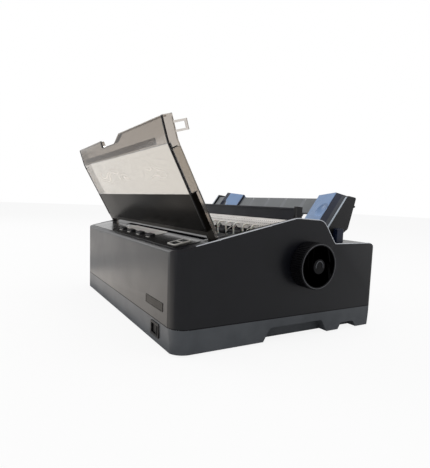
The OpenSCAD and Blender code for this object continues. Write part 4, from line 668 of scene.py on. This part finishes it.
# Flat black film with no gloss: painted shade on the deck behind the panel
skin("deck_shade_film", [tile(deck, 33.5, film_from + film_deep / 2, 239, film_deep, film_thick, 0.0, 0.8, 0.05),
                   tile(deck, -83, film_from / 2 + 3.2, band_wide, film_from - 6.6, film_thick, 0.0, 0.8, 0.05)],
     deck_shade_paint, "chassis")
skin("function_plate", [tile(deck, 12, plate_s, 108, 14.6, 0.68, 0.0, 1.0, 0.12)], label_print, "chassis")
skin("plate_fields", [tile(deck, x + 1, plate_s, 22, 12.0, 0.1, 0.66, 0.8, 0.04) for x in button_x], white_print,
     "chassis")
skin("button_dashes", [tile(deck, x + 6, dash_s, 9, 1.8, 0.12, panel_proud, 0.6, 0.04) for x in button_x],
     white_print, "chassis")

# %% [markdown]
# ## Round the paper path
# Over the platen the tension unit presses small rubber rollers on the paper. Each roller turns in
# two white clips, with a wire spring between them, and a pale guard hangs from the bar in front of
# the rollers. The guard is a curved sheet with rows of small holes, which are drawn as grey dots.

# %% Guard, clips and springs of the tension unit
bar_low, bar_high = corners("tension_bar")
rolls = 6
platen_low, platen_high = corners("platen_roller")
platen_len = platen_high[0] - platen_low[0]
platen_y, platen_z = (platen_low[1] + platen_high[1]) / 2, (platen_low[2] + platen_high[2]) / 2
roll_x = (np.arange(rolls) - (rolls - 1) / 2) * platen_len / rolls
guard_path = smooth_path([(28.0, 112.6), (28.6, 118.0), (31.0, 125.0), (bar_low[1] + 2.0, 128.6)], 20)
yz_plane = Surface((0, 0, 0), 0, "tension_unit")
speckled = finish("speckled_white_guard", "#e9e5e1", "#dcd7d2", 0.45, 2.2, 0.25, 0.08, PLASTIC)
skin("tension_guard", [strip(yz_plane, 0.0, guard_path, 2 * (bar_high[0] - 3), 1.0, 0.3)], speckled,
     "tension_unit")
hole_rows, holes = (5, 8, 11), 62
punched = finish("punched_guard_hole", "#7f7a77", "#6c6865", 0.6, 0.8, 0.003, 0.05, DULL)
hole_grids = []
for row in hole_rows:
    turn = math.degrees(math.atan2(*(guard_path[row + 1] - guard_path[row - 1])[::-1]))
    face = Surface((0, *guard_path[row]), turn, "tension_unit")
    hole_grids += [tile(face, x + row % 2 * 2, 0, 1.7, 0.8, 0.12, 0.48, 0.35, 0.04)
                   for x in np.linspace(bar_low[0] + 6, bar_high[0] - 8, holes)]
skin("guard_holes", hole_grids, punched, "tension_unit")


def clip_path(x):
    """White clip: up in front of the roller, over it in a half circle and down behind to its shaft."""
    steps, mid_y, mid_z = 14, 25.5, 114
    half_deep, high = 6.5, 5.0
    turn = np.linspace(np.pi, 0, steps)
    arch = np.stack([np.full(steps, x), mid_y + half_deep * np.cos(turn), mid_z + high * np.sin(turn)], -1)
    return np.concatenate([[[x, 20.5, 101.0], [x, 19.5, 106.0]], arch, [[x, 33.5, 109.0]]])


def spring_path(x):
    """Wire spring: a diagonal from one clip's foot to the other clip's head, with a hooked end."""
    return smooth_path([(x - 8.5, 19.0, 100.5), (x - 4.0, 16.5, 105.0), (x + 4.0, 17.0, 112.0),
                        (x + 8.0, 21.0, 116.0), (x + 8.5, 25.0, 114.0)], 24)


def shade_arc_path(x):
    """Dark arc behind a roller's clips, a painted shade: the upper arc of an ellipse in a plane of fixed y."""
    shade_arc_y, mid_z, half_wide, high, steps = 26.4, 110.5, 8, 5.5, 16
    turn = np.linspace(np.pi * 0.95, np.pi * 0.1, steps)
    return np.stack([x + half_wide * np.cos(turn), np.full(steps, shade_arc_y), mid_z + high * np.sin(turn)], -1)


clip_aside, clip_r, wire_r, shade_arc_r = 9.8, 1.15, 0.75, 1.0
skin("roller_clips", [tube(clip_path(x + side * clip_aside), clip_r) for x in roll_x for side in (-1, 1)],
     acetal, "tension_unit")
skin("roller_springs", [tube(spring_path(x), wire_r) for x in roll_x], nickel, "tension_unit")
# Dark arcs behind the clips: painted shade
skin("clip_shade_arcs", [tube(shade_arc_path(x), shade_arc_r) for x in roll_x], inner_abs, "tension_unit")
# Fine ribs along the bar's front face, which give a grip and stop the long moulding from warping
bar_face = Surface((0, bar_low[1], bar_low[2]), 90, "tension_unit")
rib_at = (1.6, 13.4)
skin("bar_ribs", [tile(bar_face, 0, s, 2 * bar_high[0] - 8, 0.7, 0.35, -0.1, 0.2, 0.1) for s in rib_at], bar_abs,
     "tension_unit")

# %% [markdown]
# ## Paper guide
# The sheet has polished wear bands between its ribs, where the paper slides, and a scale of short
# lines for the edge guides. The strips are a tenth of a millimetre thick, as a printed ink or a
# polished patch would be.

# %% Bands and scale on the paper guide
band_abs = finish("polished_grey_band", "#707375", "#65686a", 0.34, 0.8, 0.008, 0.05, PLASTIC)
band_x, scale_x = np.arange(-60, 101, 40), np.arange(-66, 104, 5.08)
skin("guide_bands", [tile(guide, x, 34.5, 33, 23.5, 0.12, 0.0, 1.2, 0.05) for x in band_x], band_abs,
     "paper_guide")
skin("guide_scale", [tile(guide, x, 44.6, 0.5, 2.6 if k % 5 else 4.2, 0.1, 0.0, 0.1, 0.03)
                     for k, x in enumerate(scale_x)], white_print, "paper_guide")
# A pale rounded bead along the end plates' front rim: painted highlight of the rim's edge
rim_path = smooth_path([(-0.2, 3.0), (48.0, 3.0)], 24)
rim_highlight_abs = finish("guide_rim_painted_highlight", "#b4bec8", "#a3adb7", 0.25, 0.8, 0.004, 0.05, SATIN)
rim_x, rim_wide, rim_thick = guide_high[0] - 2.0, 2.6, 0.5
skin("guide_rim_highlights", [strip(guide, side * rim_x, rim_path, rim_wide, rim_thick, 0.2) for side in (-1, 1)], rim_highlight_abs,
     "paper_guide")

# %% [markdown]
# ## The platen's knob
# A lighter bead round the knob's rim and a lighter arch on its hub are painted highlights, where the
# rim and the top of the hub catch the light.

# %% Knob
knob_low, knob_high = corners("platen_knob")
knob_r = (knob_high[2] - knob_low[2]) / 2
knob_face = knob_high[0]
around_knob = np.linspace(0, 2 * np.pi, 121)


def circle_x(x, r):
    """Closed circle of radius r round the platen's axis at a place across the machine."""
    return np.stack([np.full_like(around_knob, x), platen_y + r * np.cos(around_knob),
                     platen_z + r * np.sin(around_knob)], -1)


# Lighter grey beads on the knob: painted highlights
knob_highlight_abs = finish("knob_painted_highlight", "#4d4f54", "#44464b", 0.28, 0.8, 0.004, 0.04, SATIN)
rim_depth, rim_in, rim_bead = 0.25, 1.6, 0.42
skin("knob_rim_highlight", [tube(circle_x(knob_face - rim_depth, knob_r - rim_in), rim_bead)], knob_highlight_abs, "platen",
     capped=False)
arch_turn = np.linspace(-0.2, np.pi + 0.2, 22)
arch_proud, arch_half, arch_high, arch_bead = 0.2, 5.0, 6.0, 0.5
arch_path = np.stack([np.full_like(arch_turn, knob_face + arch_proud), platen_y + arch_half * np.cos(arch_turn),
                      platen_z + arch_high * np.sin(arch_turn)], -1)
skin("knob_hub_highlight", [tube(arch_path, arch_bead)], knob_highlight_abs, "platen")

# %% [markdown]
# ## Seam and edges of the case
# The upper and the lower moulding meet in a narrow gap that runs round the case, and a thin black
# band paints the shade in it. Along the top of the side walls a pale bead paints the highlight that
# the edge catches. Both follow the CAD mesh itself: the seam is the convex hull of the upper
# moulding's points at the height where the two meet, and the edge is found by rays that look
# straight down on the side wall.

# %% Seam and edges
case_high = corners("upper_case")[1]
seam_z, front_edge, rear_edge = 26.2, -112, 129
case_points = np.array([v.co[:] for v in nodes["upper_case"].data.vertices]) / MM
level_points = case_points[np.abs(case_points[:, 2] - seam_z) < 0.6][:, :2]


def hull(points):
    """Convex hull of points in the plane, counter-clockwise (monotone chain)."""
    points = sorted(set(map(tuple, np.round(points, 3))))
    chains = []
    for line in (points, points[::-1]):
        chain = []
        for q in line:
            while len(chain) > 1 and ((chain[-1][0] - chain[-2][0]) * (q[1] - chain[-1][1])
                                      <= (chain[-1][1] - chain[-2][1]) * (q[0] - chain[-1][0])):
                chain.pop()
            chain.append(q)
        chains += chain[:-1]
    return np.array(chains)


def ray_tree(node):
    """Search tree of a CAD node's own mesh, for rays in mm."""
    mesh = nodes[node].data
    return BVHTree.FromPolygons([v.co / MM for v in mesh.vertices], [face.vertices[:] for face in mesh.polygons])


case_tree = ray_tree("upper_case")


def wall_edge(side, y_from, y_to, steps, inset=0.3, reach=12.0, rays=48, fall=0.5, above=400):
    """Points along a side wall's outer top edge: at each y the outermost place within fall mm of the
    wall's crest, found by rays that look straight down from inset to reach mm inside the case."""
    line = []
    for y in np.linspace(y_from, y_to, steps):
        tops = []
        for x in side * np.linspace(case_high[0] - inset, case_high[0] - reach, rays):
            place = case_tree.ray_cast((x, y, above), (0, 0, -1))[0]
            if place:
                tops.append(list(place))
        crest = max(top[2] for top in tops)
        line.append(next(top for top in tops if top[2] > crest - fall))
    return np.array(line)


outline = hull(level_points)
seam_loop = np.concatenate([outline, outline[:1]])
length = np.concatenate([[0], np.cumsum(np.linalg.norm(np.diff(seam_loop, axis=0), axis=1))])
even = np.linspace(0, length[-1], 420)
seam_path = np.stack([np.interp(even, length, seam_loop[:, 0]), np.interp(even, length, seam_loop[:, 1]),
                      0 * even], -1)
along = np.gradient(seam_path, axis=0)
along /= np.linalg.norm(along, axis=1, keepdims=True)
away = np.stack([along[:, 1], -along[:, 0], 0 * even], -1)
band_profile = rounded(0.16, 1.0, 0.05, 3)
seam_grid = (seam_path[:, None] + away[:, None] * band_profile[None, :, :1] + np.array([0, 0, 1]) * (
    seam_z - 0.3 + band_profile[None, :, 1:]))
# A thin black band in the seam: painted shade of the gap between the mouldings
skin("case_seam_shade_line", [seam_grid], edge_shade_black, "chassis")
bead_in, bead_r, bead_break, bead_least = 0.12, 0.5, 4, 4
# Pale beads along the side walls' top edges: painted highlight of the edge
wall_highlight_beads = []
for side in (-1, 1):
    line = wall_edge(side, front_edge, rear_edge, 150) - [side * bead_in, 0, bead_in]
    breaks = np.flatnonzero(np.abs(np.diff(line[:, 2])) > bead_break) + 1
    wall_highlight_beads += [tube(run, bead_r) for run in np.split(line, breaks) if len(run) > bead_least]
skin("wall_highlight_beads", wall_highlight_beads, pale_edge_highlight_abs, "chassis")
for node in ("upper_case", "lower_case", "control_panel", "cover_frame", "cover_window", "paper_guide",
             "tension_bar"):
    level(pieces[node])

# %% [markdown]
# ## Stage, light and camera
# A pale floor and a white surround, as in a photographer's tent. The white that the camera, the
# polished and the clear surfaces see has a strength of 1, and the light that the surround casts on
# the rest is weaker. One softbox stands on the left and one
# hangs above. Two pads of light lie on the floor in front of the machine, where its front face
# mirrors them. The clear window is spared by them, as it would show them as hard white shapes.

# %% Floor and surround
floor_half = 8.0
floor_mesh = bpy.data.meshes.new("floor")
floor_corners = ((-1, -1), (1, -1), (1, 1), (-1, 1))
floor_mesh.from_pydata([(x * floor_half, y * floor_half, 0) for x, y in floor_corners], [], [(0, 1, 2, 3)])
floor = bpy.data.objects.new("floor", floor_mesh)
bpy.context.scene.collection.objects.link(floor)
paper_share, fill_level = 0.88, 0.55
floor_paper, floor_out = blank("white_paper_sweep")
rough_paper = add(floor_paper, "BsdfPrincipled", {"Base Color": srgb("#ededed"), "Roughness": 0.85,
                                                   "Specular IOR Level": 0.1})
white_paper = add(floor_paper, "Emission", {"Color": srgb("#ffffff"), "Strength": 1.0})
seen = add(floor_paper, "LightPath")
straight = add(floor_paper, "Math", {"operation": "MAXIMUM"},
               {0: seen.outputs["Is Camera Ray"], 1: seen.outputs["Is Transmission Ray"]})
share = add(floor_paper, "Math", {"operation": "MULTIPLY", 1: paper_share}, {0: straight.outputs[0]})
paper_mix = add(floor_paper, "MixShader", {}, {"Fac": share.outputs[0], 1: rough_paper.outputs[0],
                                               2: white_paper.outputs[0]})
floor_paper.node_tree.links.new(paper_mix.outputs[0], floor_out.inputs["Surface"])
floor_mesh.materials.append(floor_paper)

world = bpy.data.worlds.new("studio")
bpy.context.scene.world = world
world.use_nodes = True
world.node_tree.nodes.clear()
world_out = world.node_tree.nodes.new("ShaderNodeOutputWorld")
rays = add(world, "LightPath")
camera_or_gloss = add(world, "Math", {"operation": "MAXIMUM"},
                      {0: rays.outputs["Is Camera Ray"], 1: rays.outputs["Is Glossy Ray"]})
any_seen = add(world, "Math", {"operation": "MAXIMUM"},
               {0: camera_or_gloss.outputs[0], 1: rays.outputs["Is Transmission Ray"]})
white = add(world, "Background", {"Color": srgb("#ffffff"), "Strength": 1.0})
fill = add(world, "Background", {"Color": srgb("#ffffff"), "Strength": fill_level})
tent = add(world, "MixShader", {}, {"Fac": any_seen.outputs[0], 1: fill.outputs[0], 2: white.outputs[0]})
world.node_tree.links.new(tent.outputs[0], world_out.inputs["Surface"])

# %% Softboxes and camera
# The clear window, which the pads of light leave out
clear_parts = bpy.data.collections.new("clear parts")
clear_parts.objects.link(pieces["cover_window"])
clear_parts.collection_objects[0].light_linking.link_state = "EXCLUDE"


def softbox(name, place, target, wide, deep, power, tint="#ffffff", linked=None):
    """A rectangular area lamp at place, turned to look at target, all in metres. The collection
    linked, if there is one, says which pieces the lamp leaves out."""
    lamp = bpy.data.lights.new(name, "AREA")
    lamp.shape = "RECTANGLE"
    lamp.size, lamp.size_y = wide, deep
    lamp.energy = power
    lamp.color = srgb(tint)[:3]
    lamp_object = bpy.data.objects.new(name, lamp)
    lamp_object.location = place
    direction = np.subtract(target, place)
    sideways = math.hypot(direction[0], direction[1])
    lamp_object.rotation_euler = (math.atan2(sideways, -direction[2]), 0,
                                  math.atan2(direction[1], direction[0]) - math.pi / 2 if sideways > 1e-6 else 0)
    lamp_object.visible_camera = lamp_object.visible_transmission = False
    bpy.context.scene.collection.objects.link(lamp_object)
    if linked:
        lamp_object.light_linking.receiver_collection = linked


pad_y, pad_z, pad_tint = -0.365, 0.002, "#fff4e8"
softbox("near light pad", (-0.07, pad_y, pad_z), (-0.07, pad_y, 1), 0.47, 0.44, 0.75, pad_tint, clear_parts)
softbox("far light pad", (-1.0, pad_y, pad_z), (-1.0, pad_y, 1), 0.94, 0.96, 1.7, pad_tint, clear_parts)
softbox("left softbox", (-1.6, -1.3, 0.9), (0, 0, 0.1), 1.2, 1.2, 14)
softbox("top softbox", (0.2, 0.1, 2.0), (0, 0, 0), 1.6, 1.6, 16)

camera_data = bpy.data.cameras.new("camera")
camera = bpy.data.objects.new("camera", camera_data)
bpy.context.scene.collection.objects.link(camera)
azimuth, elevation, roll = np.radians([59.55, 7.51, 2.33])
# The camera's place in mm, and its picture's longer side, focal length and rise, all in pixels
camera_at = (494.7, -281.2, 145.7)
picture_side, focal_length, rise = 468, 396.6, 21
ahead = np.array([-math.sin(azimuth) * math.cos(elevation), math.cos(azimuth) * math.cos(elevation),
                  -math.sin(elevation)])
level_right = np.array([math.cos(azimuth), math.sin(azimuth), 0])
level_up = np.cross(level_right, ahead)
right = math.cos(roll) * level_right + math.sin(roll) * level_up
up = -math.sin(roll) * level_right + math.cos(roll) * level_up
pose = np.eye(4)
pose[:3, 0], pose[:3, 1], pose[:3, 2] = right, up, -ahead
pose[:3, 3] = np.array(camera_at) * MM
camera.matrix_world = pose.T.tolist()
camera_data.sensor_fit = "AUTO"
camera_data.sensor_width = 36
camera_data.lens = focal_length / picture_side * camera_data.sensor_width
camera_data.shift_y = rise / picture_side
camera_data.clip_start = 0.01
bpy.context.scene.camera = camera
bpy.context.scene.view_settings.view_transform = "Standard"

# %% Update the view layer
bpy.context.view_layer.update()
